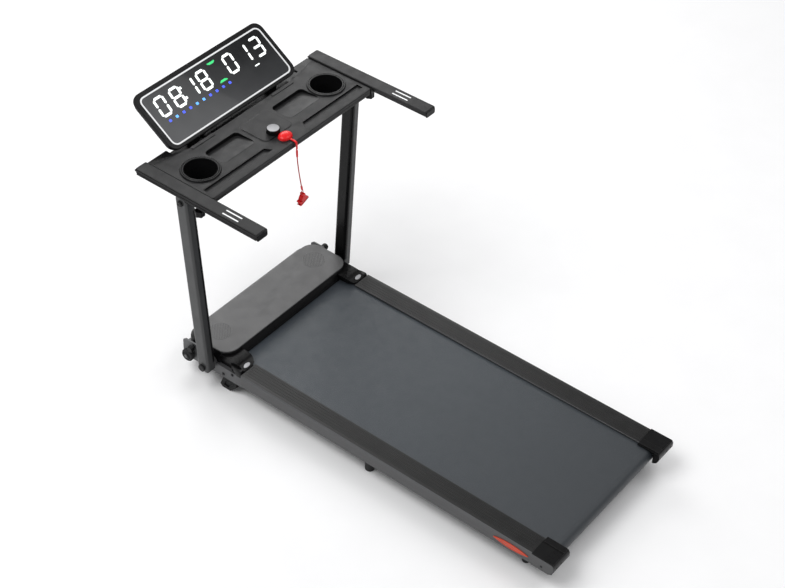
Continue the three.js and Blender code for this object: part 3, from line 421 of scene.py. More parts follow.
class Shape:
    """Collects closed solids in millimetres and makes one piece of them."""

    def __init__(self):
        self.verts = []
        self.faces = []

    def add(self, verts, faces, place=None):
        base = len(self.verts)
        self.verts += [(place @ Vector(v)) if place else Vector(v) for v in verts]
        self.faces += [[base + i for i in face] for face in faces]
        return self

    def prism(self, outline, z0, z1, place=None):
        n = len(outline)
        verts = [(x, y, z) for z in (z0, z1) for x, y in outline]
        faces = [list(range(n))[::-1], list(range(n, 2 * n))] + walls(n, 0, n)
        return self.add(verts, faces, place)

    def ring(self, outer, inner, z0, z1, place=None):
        """Flat loop between two outlines with the same number of points."""
        n = len(outer)
        verts = [(x, y, z) for z in (z0, z1) for line in (outer, inner) for x, y in line]
        faces = []
        for i in range(n):
            j = (i + 1) % n
            faces += [[i, j, 2 * n + j, 2 * n + i], [n + j, n + i, 3 * n + i, 3 * n + j],
                      [2 * n + i, 2 * n + j, 3 * n + j, 3 * n + i], [j, i, n + i, n + j]]
        return self.add(verts, faces, place)

    def hoop(self, outer, inner, n, z0, z1, place=None, centre=(0, 0)):
        """Round loop between two radii."""
        return self.ring(circle(*centre, outer, n), circle(*centre, inner, n), z0, z1, place)

    def border(self, rect, r, width, n, z0, z1):
        """Rounded rectangular loop of a width, just inside the rectangle (x0, x1, y0, y1)."""
        x0, x1, y0, y1 = rect
        inner = round_rect(x0 + width, x1 - width, y0 + width, y1 - width, r - width, n)
        return self.ring(round_rect(*rect, r, n), inner, z0, z1)

    def lathe(self, profile, steps, place):
        """Profile of (radius, height) that starts and ends on the axis."""
        rows = []
        verts = []
        for r, h in profile:
            if r < 1e-6:
                rows.append([len(verts)])
                verts.append((0, 0, h))
            else:
                rows.append(list(range(len(verts), len(verts) + steps)))
                verts += [(x, y, h) for x, y in circle(0, 0, r, steps)]
        faces = []
        for a, b in zip(rows, rows[1:]):
            for i in range(steps):
                j = (i + 1) % steps
                if len(a) == 1 and len(b) > 1:
                    faces.append([a[0], b[j], b[i]])
                elif len(b) == 1 and len(a) > 1:
                    faces.append([a[i], a[j], b[0]])
                elif len(a) > 1:
                    faces.append([a[i], a[j], b[j], b[i]])
        return self.add(verts, faces, place)

    def disc(self, r, h0, h1, steps, place):
        return self.lathe([(0, h0), (r, h0), (r, h1), (0, h1)], steps, place)

    def tube(self, points, radius, sides, closed=False):
        """Round tube along points; its radius is a number or a function of the share, 0 to 1."""
        points = [Vector(p) for p in points]
        n = len(points)
        verts = []
        normal = None
        for i, p in enumerate(points):
            if closed:
                tangent = (points[(i + 1) % n] - points[i - 1]).normalized()
            else:
                tangent = (points[min(i + 1, n - 1)] - points[max(i - 1, 0)]).normalized()
            if normal is None:
                normal = tangent.orthogonal().normalized()
            normal = (normal - tangent * normal.dot(tangent)).normalized()
            other = tangent.cross(normal)
            r = radius(i / (n - 1)) if callable(radius) else radius
            for t in angles(sides):
                verts.append(p + normal * (r * math.cos(t)) + other * (r * math.sin(t)))
        faces = []
        for i in range(n if closed else n - 1):
            faces += walls(sides, i * sides, ((i + 1) % n) * sides)
        if not closed:
            faces += [list(range(sides))[::-1], [(n - 1) * sides + k for k in range(sides)]]
        return self.add(verts, faces)

    def make(self, name, material, body, slot=None, bevel=0.0, segments=2):
        """Makes the piece in metres, with rounded edges, riding on a body."""
        mesh = bpy.data.meshes.new(name)
        mesh.from_pydata([v * MM for v in self.verts], [], self.faces)
        clean = bmesh.new()
        clean.from_mesh(mesh)
        bmesh.ops.remove_doubles(clean, verts=clean.verts, dist=1e-7)
        bmesh.ops.recalc_face_normals(clean, faces=clean.faces)
        clean.to_mesh(mesh)
        clean.free()
        ob = bpy.data.objects.new(name, mesh)
        SCENE.collection.objects.link(ob)
        mesh.materials.append(MATERIALS[material])
        soften(ob, bevel, segments)
        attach(ob, body)
        return ob


SCREEN_TILT = math.radians(34.4)
SCREEN_AT = (553.54, 715.46)  # y and z of the display plane's lower edge
SCREEN = Matrix((
    (1, 0, 0, 0), (0, math.cos(SCREEN_TILT), -math.sin(SCREEN_TILT), SCREEN_AT[0]),
    (0, math.sin(SCREEN_TILT), math.cos(SCREEN_TILT), SCREEN_AT[1]), (0, 0, 0, 1)))


# ---------------------------------------------------------------- cord
KEY_X = -2
CORD_Y = 348.9
CORD_TOP = 686
CORD_FOOT = 547
CORD_SPAN = 150  # fall for t from 0 to 1; the cord ends a little before 1
CORD_DRIFT = 20  # sideways, for t from 0 to 1
CORD_BOW = 3  # away from the tray
CORD_R = 1.6
CORD_STEPS = 24
CORD_SHARE = (CORD_TOP - CORD_FOOT) / CORD_SPAN
CLIP_X, CLIP_Y = KEY_X + CORD_DRIFT, 349
CLIP_HALF = 6.6
TEETH = 7
TOOTH = 2.2


def cord_point(t):
    """The lanyard's hanging line, from the strap on the key to the fitting above the clip."""
    bow = CORD_BOW * math.sin(math.pi * t) * t
    return Vector((KEY_X + CORD_DRIFT * t * t, CORD_Y - bow, CORD_TOP - CORD_SPAN * t))


CORD_POINTS = [cord_point(CORD_SHARE * i / CORD_STEPS) for i in range(CORD_STEPS + 1)]


def add_cord():
    data = bpy.data.curves.new("lanyard_cord", "CURVE")
    data.dimensions = "3D"
    data.bevel_depth = CORD_R * MM
    data.bevel_resolution = 4
    data.use_fill_caps = True
    line = data.splines.new("POLY")
    line.points.add(len(CORD_POINTS) - 1)
    for point, place in zip(line.points, CORD_POINTS):
        point.co = (*(place * MM), 1)
    ob = bpy.data.objects.new("lanyard_cord", data)
    SCENE.collection.objects.link(ob)
    data.materials.append(MATERIALS["red_cord"])
    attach(ob, "lanyard")
    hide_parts("lanyard")
    return ob


def sleeve(name, shares):
    """Crimped sleeve on the cord, through the line's points at these shares."""
    points = [cord_point(t) for t in shares]
    shape = Shape().tube(points, lambda t: 2.9 if 0.08 < t < 0.92 else 2.3, 12)
    shape.make(name, "red_plastic", "lanyard", bevel=0.4)


def jaw(shape, back, tip, pitch, slope, rise, dip):
    """One jaw of the clip: its smooth back, then a row of teeth that starts at the tip."""
    teeth = []
    for i in range(TEETH):
        x = tip[0] - pitch * i
        base = tip[1] + (x - tip[0]) * slope
        teeth += [(x, base + rise), (x - TOOTH, base + dip)]
    shape.prism([(CLIP_X + x, z) for x, z in back + teeth], -CLIP_HALF, CLIP_HALF,
                along_y(0, CLIP_Y))


def lanyard_fittings():
    """Crimp sleeves, the doubled loop and the spring clip on the lanyard's end."""
    sleeve("lanyard_sleeve_top", [i / 60 for i in range(10)])
    sleeve("lanyard_sleeve_low", [CORD_SHARE * (0.9 + i / 90) for i in range(10)])
    foot = cord_point(CORD_SHARE)
    loop = [(foot.x + 0.5 + 3.4 * math.sin(t), foot.y + 1.2 * math.sin(2 * t),
             foot.z - 8.5 + 10 * math.cos(t)) for t in angles(28)]
    Shape().tube(loop, 0.9, 8, closed=True).make("lanyard_loop", "red_cord", "lanyard")
    jaws = Shape()
    jaw(jaws, [(-12, 513), (-8, 523), (-4, 527), (-3, 534), (3, 534), (5, 526), (12, 519),
               (17.5, 515.2)], (15.5, 514.9), 4.4, 0.355, 0.9, -1.1)
    jaw(jaws, [(-17, 503), (-14, 500.6), (-2, 504), (13.6, 511.2), (16.8, 513.2)],
        (14.6, 512.0), 4.5, 0.36, -0.7, 1.1)
    clip = jaws.make("clip_jaws", "red_plastic", "lanyard", bevel=0.45)
    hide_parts("lanyard_clip")
    spring = []
    coils, steps = 4, 12
    for i in range(coils * steps + 1):
        t = 2 * math.pi * i / steps
        spring.append((CLIP_X - 9 + 3.1 * math.cos(t), CLIP_Y - 5 + 10 * i / (coils * steps),
                       508.5 + 3.1 * math.sin(t)))
    Shape().tube(spring, 0.55, 8).make("clip_spring", "roller_steel", "lanyard")
    tabs = Shape()
    tabs.prism([(CLIP_X - 17.5, 511), (CLIP_X - 16, 514.5), (CLIP_X - 8, 516), (CLIP_X - 8, 513)],
               -CLIP_HALF, CLIP_HALF, along_y(0, CLIP_Y))
    for i in range(4):
        tabs.prism(circle(CLIP_X - 16 + 2.4 * i, 515.0 + 0.3 * i, 0.7, 8), -6, 6,
                   along_y(0, CLIP_Y))
    tabs.make("clip_finger_tabs", "red_plastic", "lanyard", bevel=0.3)


cord = add_cord()
lanyard_fittings()


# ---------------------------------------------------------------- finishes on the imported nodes
# Width in millimetres of the rounded edges of each kind of node; the others stay as packed.
EDGE = {
    "rail": 0.5, "rear_cap": 1.4, "front_cap": 1.6, "motor_cover": 1.2, "post": 0.6, "arm": 0.9,
    "console_tray": 0.8, "cup": 0.35, "display_housing": 0.6, "display_ring": 0.3,
    "display_mount": 0.8, "frame_side": 0.8, "front_foot": 0.8, "wheel": 0.6, "lock_knob": 0.5,
    "clamp_knob": 0.6, "pivot_bolt": 0.4, "console_bolt": 0.4, "running_deck": 0.8,
    "cap_insert": 0.4, "motor": 0.6, "belly_pan": 0.8, "front_crossbar": 1.0,
    "mid_crossbar": 1.0, "rear_crossbar": 1.0, "power_inlet": 0.6, "foot_mid": 0.8,
    "foot_rear": 0.8, "control_board": 0.3, "motor_pulley": 0.3, "rear_roller": 0.3,
    "front_roller": 0.3,
}


def dress_nodes():
    """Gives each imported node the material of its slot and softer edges."""
    for name, ob in NODES.items():
        slot = ob.data.materials[0].name.split(".")[0]
        ob.material_slots[0].material = MATERIALS[slot]
        stem = name.replace("_left", "").replace("_right", "")
        soften(ob, EDGE.get(stem, 0.0), cad=True)


dress_nodes()


# ---------------------------------------------------------------- running deck details
STRIP_X = (217.6, 261.4)
STRIP_Y = (-636.5, 325.6)
STRIP_Z = (90.35, 92.65)
STRIP_ROWS = 5
STRIP_PITCH = 5.0
RIB_HIGH = 0.9
END_SCREW = (-668, 66)
REFLECTOR_Y, REFLECTOR_Z = -575, 71
LENS_HALF, LENS_TALL, LENS_END = 53.0, 8.0, 1.5
LENS_ARC = (LENS_HALF * LENS_HALF + LENS_TALL * LENS_TALL) / (2 * LENS_TALL)
LENS_COLUMNS, LENS_ROWS, RIM_STEPS = 44, 4, 20


def rib_places(start, end, first, pitch, count):
    """Places across a row of ribs, each with 1 on top of a rib or 0 in a groove."""
    places = [(start, 0)]
    for i in range(count):
        low = first + i * pitch
        places += [(low + 0.5, 0), (low + 0.9, 1), (low + pitch - 0.9, 1), (low + pitch - 0.5, 0)]
    return places + [(end, 0)]


def foot_strip(side, s):
    """Ribbed standing strip: short blocks in rows, with grooves between them."""
    (x0, x1), (y0, y1), (z0, z1) = STRIP_X, STRIP_Y, STRIP_Z
    xs = rib_places(x0, x1, x0, (x1 - x0) / STRIP_ROWS, STRIP_ROWS)
    ys = rib_places(y0, y1, y0 + 0.4, STRIP_PITCH, int((y1 - y0) / STRIP_PITCH))
    verts = [(s * x, y, z1 if a and b else z1 - RIB_HIGH) for y, b in ys for x, a in xs]
    w = len(xs)
    faces = [[j * w + i, j * w + i + 1, (j + 1) * w + i + 1, (j + 1) * w + i]
             for j in range(len(ys) - 1) for i in range(w - 1)]
    shape = Shape().add(verts, faces)
    shape.prism(slab(s * x0, s * x1, y0, y1), z0, z1 - RIB_HIGH - 0.05)
    ob = shape.make(f"foot_grip_{side}", "tread_rubber", "base")
    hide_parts(f"foot_strip_{side}")


def rail_details(side, s):
    """Dark bands beside the standing strip, fine lines along the rail, and its end screw."""
    bands = Shape()
    for x0, x1 in ((212.8, 217.5), (261.5, 270.9)):
        bands.prism(flip(s, (x0, 91.4), (x0, 92.4), (x1, 92.4), (x1, 91.4)), *STRIP_Y, along_y())
    bands.make(f"rail_bands_{side}", "tread_rubber", "base", bevel=0.2)
    lines = Shape()
    back, front = 272.65, 273.4
    for z in (86.5, 57.5):
        lines.prism(flip(s, (back, z - 0.7), (front, z - 0.5), (front, z + 0.5), (back, z + 0.7)),
                    -637, 326, along_y())
    lines.make(f"rail_lines_{side}", "rail_aluminium", "base", bevel=0.15)
    place = along_x(s, *END_SCREW)
    head = [(0, 273), (3.6, 273), (3.6, 275.1), (3.0, 275.5), (0, 275.5)]
    screw = Shape().lathe(head, 24, place)
    screw.make(f"end_screws_{side}", "black_plastic", "base", bevel=0.15)
    slots = Shape()
    for angle in (0, math.pi / 2):
        slot = turned(angle, [(-2.4, 0.4), (-2.4, -0.4), (2.4, -0.4), (2.4, 0.4)])
        slots.prism(slot, 275.2, 275.6, place)
    slots.make(f"end_screw_slots_{side}", "black_plastic", "base")


def lens_edge(y):
    """Half the height of the pointed oval, at y from its middle."""
    return math.sqrt(LENS_ARC * LENS_ARC - y * y) - LENS_ARC + LENS_TALL


def reflector(side, s):
    """Pointed oval lens with rows of small prisms, in a thin rim."""
    lens = Shape()
    wide = 2 * (LENS_HALF - LENS_END)
    for i in range(LENS_COLUMNS):
        a = LENS_END - LENS_HALF + wide * i / LENS_COLUMNS
        b = a + wide / LENS_COLUMNS
        mid = (a + b) / 2
        h0, h1, hm = (max(0.3, lens_edge(v) - 0.9) for v in (a, b, mid))
        for k in range(LENS_ROWS):
            z0, z1 = -1 + 2 * k / LENS_ROWS, -1 + 2 * (k + 1) / LENS_ROWS
            corners = [(a, z0 * h0), (b, z0 * h1), (b, z1 * h1), (a, z1 * h0)]
            verts = [(s * x, REFLECTOR_Y + y, REFLECTOR_Z + z)
                     for x in (273.4, 274.5) for y, z in corners]
            verts.append((s * 275.5, REFLECTOR_Y + mid, REFLECTOR_Z + (z0 + z1) / 2 * hm))
            faces = [[3, 2, 1, 0]] + walls(4, 0, 4)
            faces += [[4 + j, 4 + (j + 1) % 4, 8] for j in range(4)]
            lens.add(verts, faces)
    ob = lens.make(f"reflector_lens_{side}", "orange_lens", "base")
    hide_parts(f"reflector_{side}")
    outer, inner = [], []
    for up in (1, -1):
        for i in range(RIM_STEPS):
            y = up * (-LENS_HALF + 2 * LENS_HALF * i / RIM_STEPS)
            outer.append((REFLECTOR_Y + y, REFLECTOR_Z + up * (lens_edge(y) + 0.2)))
            inner.append((REFLECTOR_Y + y * 0.965,
                          REFLECTOR_Z + up * max(0.1, lens_edge(y) - 0.9)))
    rim = Shape().ring(outer, inner, 273.2, 275.3, along_x(s))
    rim.make(f"reflector_rim_{side}", "orange_lens", "base")


def end_cap_details(side, s):
    """Raised lip beside the belt, grey side plate and belt-tension socket of a rear cap."""
    lip = Shape().prism(flip(s, (206.4, 93.2), (207.6, 96.4), (226, 96.4), (227.5, 93.2)),
                        -699, -638.5, along_y())
    lip.make(f"end_cap_lip_{side}", "black_plastic", "base", bevel=0.8)
    plate = Shape().prism(
        [(-637.5, 90.6), (-695.2, 90.6), (-700.6, 88.6), (-703.8, 83.2), (-703.8, 72.4),
         (-698.2, 59.2), (-687.6, 53.0), (-637.5, 53.0)], 273.8, 274.95, along_x(s))
    plate.make(f"end_cap_side_{side}", "rail_aluminium", "base", bevel=0.5)
    socket = Shape().prism(round_rect(-7, 7, -1.9, 1.9, 1.8, 4), -3, 0.25,
                           along_y(s * 253, -704.9, 78, -1))
    socket.make(f"tension_socket_{side}", "black_steel", "base", bevel=0.15)


for side_name, sign in SIDES:
    foot_strip(side_name, sign)
    rail_details(side_name, sign)
    reflector(side_name, sign)
    end_cap_details(side_name, sign)


# ---------------------------------------------------------------- motor cover details
GRILLE_X, GRILLE_Y = 198, 469
PLATE_TOP = 118.3
GRILLE_R = 33.0
BAR_PITCH, BAR_HALF, BARS_EACH_SIDE = 4.4, 1.25, 7


def grille(side, s):
    """Round sound grille on the cover plate: a dark disc, bars that cross, and a rim."""
    centre = (s * GRILLE_X, GRILLE_Y)
    z = PLATE_TOP
    disc = Shape().prism(circle(*centre, 33.4, 56), z - 0.1, z + 0.06)
    disc.make(f"grille_floor_{side}", "black_plastic", "base")
    bars = Shape()
    for angle, high in ((math.pi / 4, 0.34), (-math.pi / 4, 0.32)):
        for k in range(-BARS_EACH_SIDE, BARS_EACH_SIDE + 1):
            off = k * BAR_PITCH
            reach = math.sqrt(GRILLE_R * GRILLE_R - off * off)
            bar = slab(-reach, reach, off - BAR_HALF, off + BAR_HALF)
            bars.prism(turned(angle, bar, *centre), z + 0.02, z + high)
    bars.hoop(34.0, 32.4, 56, z - 0.1, z + 0.42, centre=centre)
    bars.make(f"grille_bars_{side}", "cover_plastic", "base", bevel=0.15)


def cap_shoulder(side, s):
    """Moulding that carries a front corner cap out over the frame to the line of the rail."""
    x0 = 256.4
    plan = [(x0, 327.6), (268.8, 327.6), (270.6, 330.5), (270.0, 344), (263, 368), (x0, 376)]
    n = len(plan)
    levels = ((77.4, 0), (92.5, 0), (98.5, 3.0))  # height, and how far the sides lean in
    verts = [(s * (x - (x - x0) * cut / 14), y + (cut if y < 329 else 0), z)
             for z, cut in levels for x, y in plan]
    faces = [list(range(n))[::-1], list(range(2 * n, 3 * n))]
    faces += walls(n, 0, n) + walls(n, n, 2 * n)
    shoulder = Shape().add(verts, faces)
    shoulder.make(f"cap_shoulder_{side}", "black_plastic", "base", bevel=1.2)


def cover_details():
    """Air slots at the cover's rear edge, and the dark seam round its plate."""
    slots = Shape()
    for i in range(9):
        x = -180 + 45 * i
        slots.prism(slab(x - 14, x + 14, 377.0, 379.6), 93, 96)
    slots.make("cover_vent_slots", "black_plastic", "base", bevel=0.2)
    seam = Shape().border((-257.6, 257.6, 384.4, 530.6), 40.6, 3.6, 10, 113.4, 114.6)
    seam.make("cover_plate_seam", "black_plastic", "base", bevel=0.2)


for side_name, sign in SIDES:
    grille(side_name, sign)
    cap_shoulder(side_name, sign)
cover_details()


# ---------------------------------------------------------------- console details
ARM_X = 331
ARM_TOP = 714.25
TRAY_LOW, TRAY_TOP = 709.3, 709.75  # thin details on the tray's top face
CUP_X, CUP_Y, CUP_FLOOR = 243, 458.5, 653.9
KNOB_AT = (-8, 424)
KNOB_STEPS, FLUTES, FLUTE_DEPTH = 144, 36, 0.45
KEY_Y, KEY_Z, KEY_R = 388, 709.8, 18
KEY_OVAL = Matrix.Translation((KEY_X, KEY_Y, KEY_Z)) @ Matrix.Diagonal((1.16, 0.94, 1, 1))


def span(s, x0, x1):
    return sorted((s * x0, s * x1))


def arm_details(side, s):
    """White marks, end cap, rim, side band, ledge and screws of a handrail."""
    marks = Shape()
    for x in (323.5, 338):
        marks.prism(round_rect(*span(s, x - 2, x + 2), 244, 296, 1.6, 4), 713.9, 714.22)
    marks.make(f"arm_marks_{side}", "white_trim", "console", bevel=0.08)
    cap = Shape().prism(round_rect(-18.6, 18.6, 694.6, 712.6, 5, 5), 0, 3.2,
                        along_y(s * ARM_X, 174.6, 0, -1))
    cap.make(f"arm_end_{side}", "black_plastic", "console", bevel=1.4, segments=3)
    rim = Shape().border((*span(s, 312.6, 349.4), 176.2, 581.4), 4, 1.3, 4, 713.7, ARM_TOP)
    rim.make(f"arm_rim_{side}", "black_plastic", "console", bevel=0.12)
    band = Shape().prism(
        flip(s, (346.2, 713.7), (346.2, ARM_TOP), (349.8, 714.2), (351.3, 712.4), (351.3, 707.4),
             (347.4, 704.4), (346.6, 704.8)), 177.5, 580, along_y())
    band.make(f"arm_band_{side}", "black_plastic", "console", bevel=0.2)
    ledge = Shape().prism(flip(s, (346.6, 702.6), (350.2, 700.4), (350.6, 697.4), (346.0, 694.2)),
                          177.5, 578, along_y())
    ledge.make(f"arm_ledge_{side}", "console_plastic", "console", bevel=0.5)
    screws = Shape()
    for y in (262, 362, 462):
        screws.disc(4.2, 692.6, 694.3, 20, at(s * ARM_X, y))
    screws.make(f"arm_screws_{side}", "frame_steel", "console", bevel=0.3)


def tray_side(side, s):
    """Black sheets that paint the shade on the walls of a phone rest and a channel, and a black
    panel behind the cup that paints the shade on the wedge's top.
    """
    # Painted shade: black sheets down the walls of the recesses, where they lie in shade.
    shade_sheet = Shape()
    shade_sheet.border((*span(s, 66.1, 188.9), 431.1, 501.9), 13.9, 1.1, 6, 697.8, 709.4)
    shade_sheet.ring(flip(s, (299.9, 376.1), (299.9, 399.9), (74.1, 399.9), (61.2, 376.1)),
               flip(s, (298.6, 377.3), (298.6, 396.6), (75.4, 396.6), (63.2, 377.3)),
               704.3, 709.4)
    shade_sheet.make(f"recess_shade_{side}", "black_plastic", "console", bevel=0.1)
    # Painted shade: a black panel over the wedge's top beside the display, which lies in shade.
    wing = Shape().prism(
        flip(s, (212, 544.6), (240, 549), (303, 561), (303, 579.8), (242, 579.8), (242, 557.4),
             (212, 546.4)), 702, 709.9)
    wing.make(f"wing_shade_panel_{side}", "black_plastic", "console", bevel=0.4)


def tray_details():
    """Outlines, seams, edge line and ribs of the tray, and its screws and vents underneath."""
    line = Shape().border((-55.6, 55.6, 405.4, 507.6), 17.6, 4.2, 6, TRAY_LOW, 709.95)
    line.make("panel_outline", "black_plastic", "console", bevel=0.12)
    seams = Shape()
    for _, s in SIDES:
        seams.prism(slab(*span(s, 76.4, 178.6), 429.0, 429.9), 709.4, TRAY_TOP)
    seams.make("rest_seams", "black_plastic", "console", bevel=0.1)
    for side, s in SIDES:
        tray_side(side, s)
    edge = Shape().prism(slab(-300, 300, 354.6, 355.6), 694.2, 701.8)
    edge.make("tray_edge_line", "black_plastic", "console", bevel=0.3)
    ribs = Shape()
    for x0, x1 in ((-301, -62), (62, 301)):
        ribs.prism(slab(x0, x1, 358.5, 374.6), TRAY_LOW, TRAY_TOP)
    ribs.make("tray_rear_ribs", "console_plastic", "console", bevel=0.2)
    screws = Shape()
    for x in (-150, -50, 50, 150):
        for y in (400, 502):
            screws.disc(3.6, 666.6, 668.4, 18, at(x, y))
    screws.make("under_screws", "frame_steel", "console", bevel=0.25)
    vents = Shape()
    for i in range(7):
        x = -126 + 42 * i
        vents.prism(round_rect(x - 15, x + 15, 440, 446, 2.9, 4), 667.6, 668.2)
    vents.make("under_vents", "black_plastic", "console", bevel=0.15)


def cup_details(side, s):
    """Ring and ribs moulded on the cup's floor, and the two beads round its mouth."""
    centre = (s * CUP_X, CUP_Y)
    floor = Shape().hoop(24, 21.5, 40, CUP_FLOOR, 655.2, centre=centre)
    for t in angles(6):
        floor.prism(turned(t, slab(8, 20, 1.1, -1.1), *centre), CUP_FLOOR, 655.0)
    floor.make(f"cup_floor_{side}", "black_plastic", "console", bevel=0.4)
    bead = Shape()
    for r, z, thick in ((47.8, 712.5, 0.75), (52.2, 710.6, 0.7)):
        bead.tube([(x, y, z) for x, y in circle(*centre, r, 56)], thick, 8, closed=True)
    bead.make(f"cup_bead_{side}", "black_plastic", "console")


def speed_knob():
    """Fluted knob with its shaft, its metal cap, and the ring on the panel round its foot."""
    cx, cy = KNOB_AT
    low, high = 711.7, 724.2
    # Height, radius and whether the level is fluted.
    levels = ((low, 17.4, 0), (712.5, 18.3, 1), (721.6, 18.0, 1), (723.2, 17.5, 0),
              (high, 16.6, 0))
    verts = [(cx, cy, low)]
    for z, r, fluted in levels:
        for t in angles(KNOB_STEPS):
            reach = r - (FLUTE_DEPTH * max(0.0, math.cos(FLUTES * t)) if fluted else 0)
            verts.append((cx + reach * math.cos(t), cy + reach * math.sin(t), z))
    verts.append((cx, cy, high))
    starts = [1 + k * KNOB_STEPS for k in range(len(levels))]
    faces = [[0, 1 + (i + 1) % KNOB_STEPS, 1 + i] for i in range(KNOB_STEPS)]
    for a, b in zip(starts, starts[1:]):
        faces += walls(KNOB_STEPS, a, b)
    faces += [[starts[-1] + i, starts[-1] + (i + 1) % KNOB_STEPS, len(verts) - 1]
              for i in range(KNOB_STEPS)]
    grip = Shape().add(verts, faces)
    grip.prism(circle(cx, cy, 3.5, 20), 699.2, 711.8)
    ob = grip.make("speed_knob_grip", "black_plastic", "speed_knob")
    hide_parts("speed_knob")
    cap = [(0, 723.4), (16.4, 723.4), (16.4, 724.7), (15.7, 725.3), (14.6, 725.1), (9, 724.8),
           (0, 724.7)]
    disc = Shape().lathe(cap, 64, at(cx, cy))
    disc.make("speed_knob_cap", "knob_disc", "speed_knob", "silver_trim", bevel=0.15)
    ring = Shape().hoop(19.2, 18.6, 56, 711.0, 711.5, centre=KNOB_AT)
    ring.make("speed_knob_ring", "black_plastic", "console", bevel=0.15)


def safety_key():
    """Oval key with a soft dome, its foot, and the ribbed strap that bends over the tray's edge."""
    z = KEY_Z
    arc = [math.pi / 2 * i / 14 for i in range(1, 14)]
    profile = [(0, 0), (17.4, 0), (KEY_R, 0.6), (KEY_R, 2.6)]
    profile += [(KEY_R * math.cos(t), 2.8 + 9.2 * math.sin(t)) for t in arc] + [(0, 12)]
    dome = Shape().lathe(profile, 56, KEY_OVAL)
    top = [(380, z + 1), (357, z + 1), (352.6, z + 0.2), (350.8, z - 2.4), (350, z - 7),
           (350, 688.2)]
    back = [(347.9, 688.2), (347.9, z - 6.4), (348.6, z - 1.6), (350.6, z + 2.0),
            (355.6, z + 3.1), (380, z + 3.2)]
    dome.prism(top + back, KEY_X - 2.9, KEY_X + 2.9, along_x(1))
    ob = dome.make("key_dome", "red_plastic", "safety_key", bevel=0.5)
    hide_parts("safety_key")
    foot = Shape().lathe([(0, 0.02), (18.3, 0.02), (18.5, 0.8), (17.8, 1.5), (0, 1.5)], 56,
                         KEY_OVAL)
    foot.make("key_foot", "red_plastic", "safety_key", bevel=0.2)
    ribs = Shape()
    for i in range(5):
        y = 359 + 3.0 * i
        ribs.prism(slab(KEY_X - 2.6, KEY_X + 2.6, y, y + 1.2), z + 3, z + 3.7)
    ribs.make("key_strap_ribs", "red_plastic", "safety_key", bevel=0.25)


for side_name, sign in SIDES:
    arm_details(side_name, sign)
    cup_details(side_name, sign)
tray_details()
speed_knob()
safety_key()


# ---------------------------------------------------------------- display
SCREEN_HALF, SCREEN_LONG = 239, 176
LAMP_Z = (-0.12, 0.06)  # the lamps' back and front, from the glass plane
DIGIT_FOOT = 89
DIGIT_HIGH = 51.5
DIGIT_WIDE = 29.5
DIGIT_STROKE = 7.2
DIGIT_GAP = 1.1
DIGIT_SLANT = 0.10
SEGMENTS = {"0": "abcdef", "1": "bc", "3": "abcdg", "8": "abcdefg"}
DIGITS = (("0", -192), ("8", -137.5), ("1", -87.5), ("8", -38), ("0", 62.8), ("1", 116),
          ("3", 167.2))


def segment(x0, y0, x1, y1):
    """Six-sided display segment from end to end."""
    length = math.hypot(x1 - x0, y1 - y0)
    ux, uy = (x1 - x0) / length, (y1 - y0) / length
    h = DIGIT_STROKE / 2
    a, b = DIGIT_GAP, length - DIGIT_GAP
    points = [(a, 0), (a + h * 0.9, h), (b - h * 0.9, h), (b, 0), (b - h * 0.9, -h),
              (a + h * 0.9, -h)]
    return [(x0 + ux * p - uy * q, y0 + uy * p + ux * q) for p, q in points]


def lean(points):
    return [(x + (y - DIGIT_FOOT - DIGIT_HIGH / 2) * DIGIT_SLANT, y) for x, y in points]


def display_lamps():
    """Slanted digits, colon and dash, two green pills, and a row of dots."""
    digits = Shape()
    low, mid, high = DIGIT_FOOT, DIGIT_FOOT + DIGIT_HIGH / 2, DIGIT_FOOT + DIGIT_HIGH
    for text, x in DIGITS:
        right = x + DIGIT_WIDE
        ends = {
            "a": (x, high, right, high), "g": (x, mid, right, mid), "d": (x, low, right, low),
            "f": (x, mid, x, high), "e": (x, low, x, mid), "b": (right, mid, right, high),
            "c": (right, low, right, mid)}
        for key in SEGMENTS[text]:
            digits.prism(lean(segment(*ends[key])), *LAMP_Z, SCREEN)
    for x, y in ((-99, 130.5), (-102, 100.5)):
        dot = round_rect(x - 3.6, x + 3.6, y - 3.6, y + 3.6, 1.4, 3)
        digits.prism(dot, *LAMP_Z, SCREEN)
    digits.prism(round_rect(135.5, 152.5, 71.1, 74.9, 1.2, 3), *LAMP_Z, SCREEN)
    digits.make("display_digits", "segment_white", "display", "display_glass")
    pills = Shape()
    for x, y, flat, tip in ((28, 144, 3, -3.4), (25, 86.5, -3, 3.4)):
        pills.prism([(x - 14, y + flat), (x + 14, y + flat), (x + 13, y), (x + 7, y + tip),
                     (x - 7, y + tip), (x - 13, y)], *LAMP_Z, SCREEN)
    pills.make("display_pills", "pill_green", "display", "display_glass")
    for name, picks in (("dot_blue", (0, 2, 3, 6, 7, 8, 9)), ("dot_cyan", (1, 4, 5))):
        dots = Shape()
        for i in picks:
            x = -186.4 + 24.75 * i
            dots.prism(round_rect(x - 4.1, x + 4.1, 69.2, 76.4, 1.6, 4), *LAMP_Z, SCREEN)
        dots.make(f"display_{name}", name, "display", "display_glass")


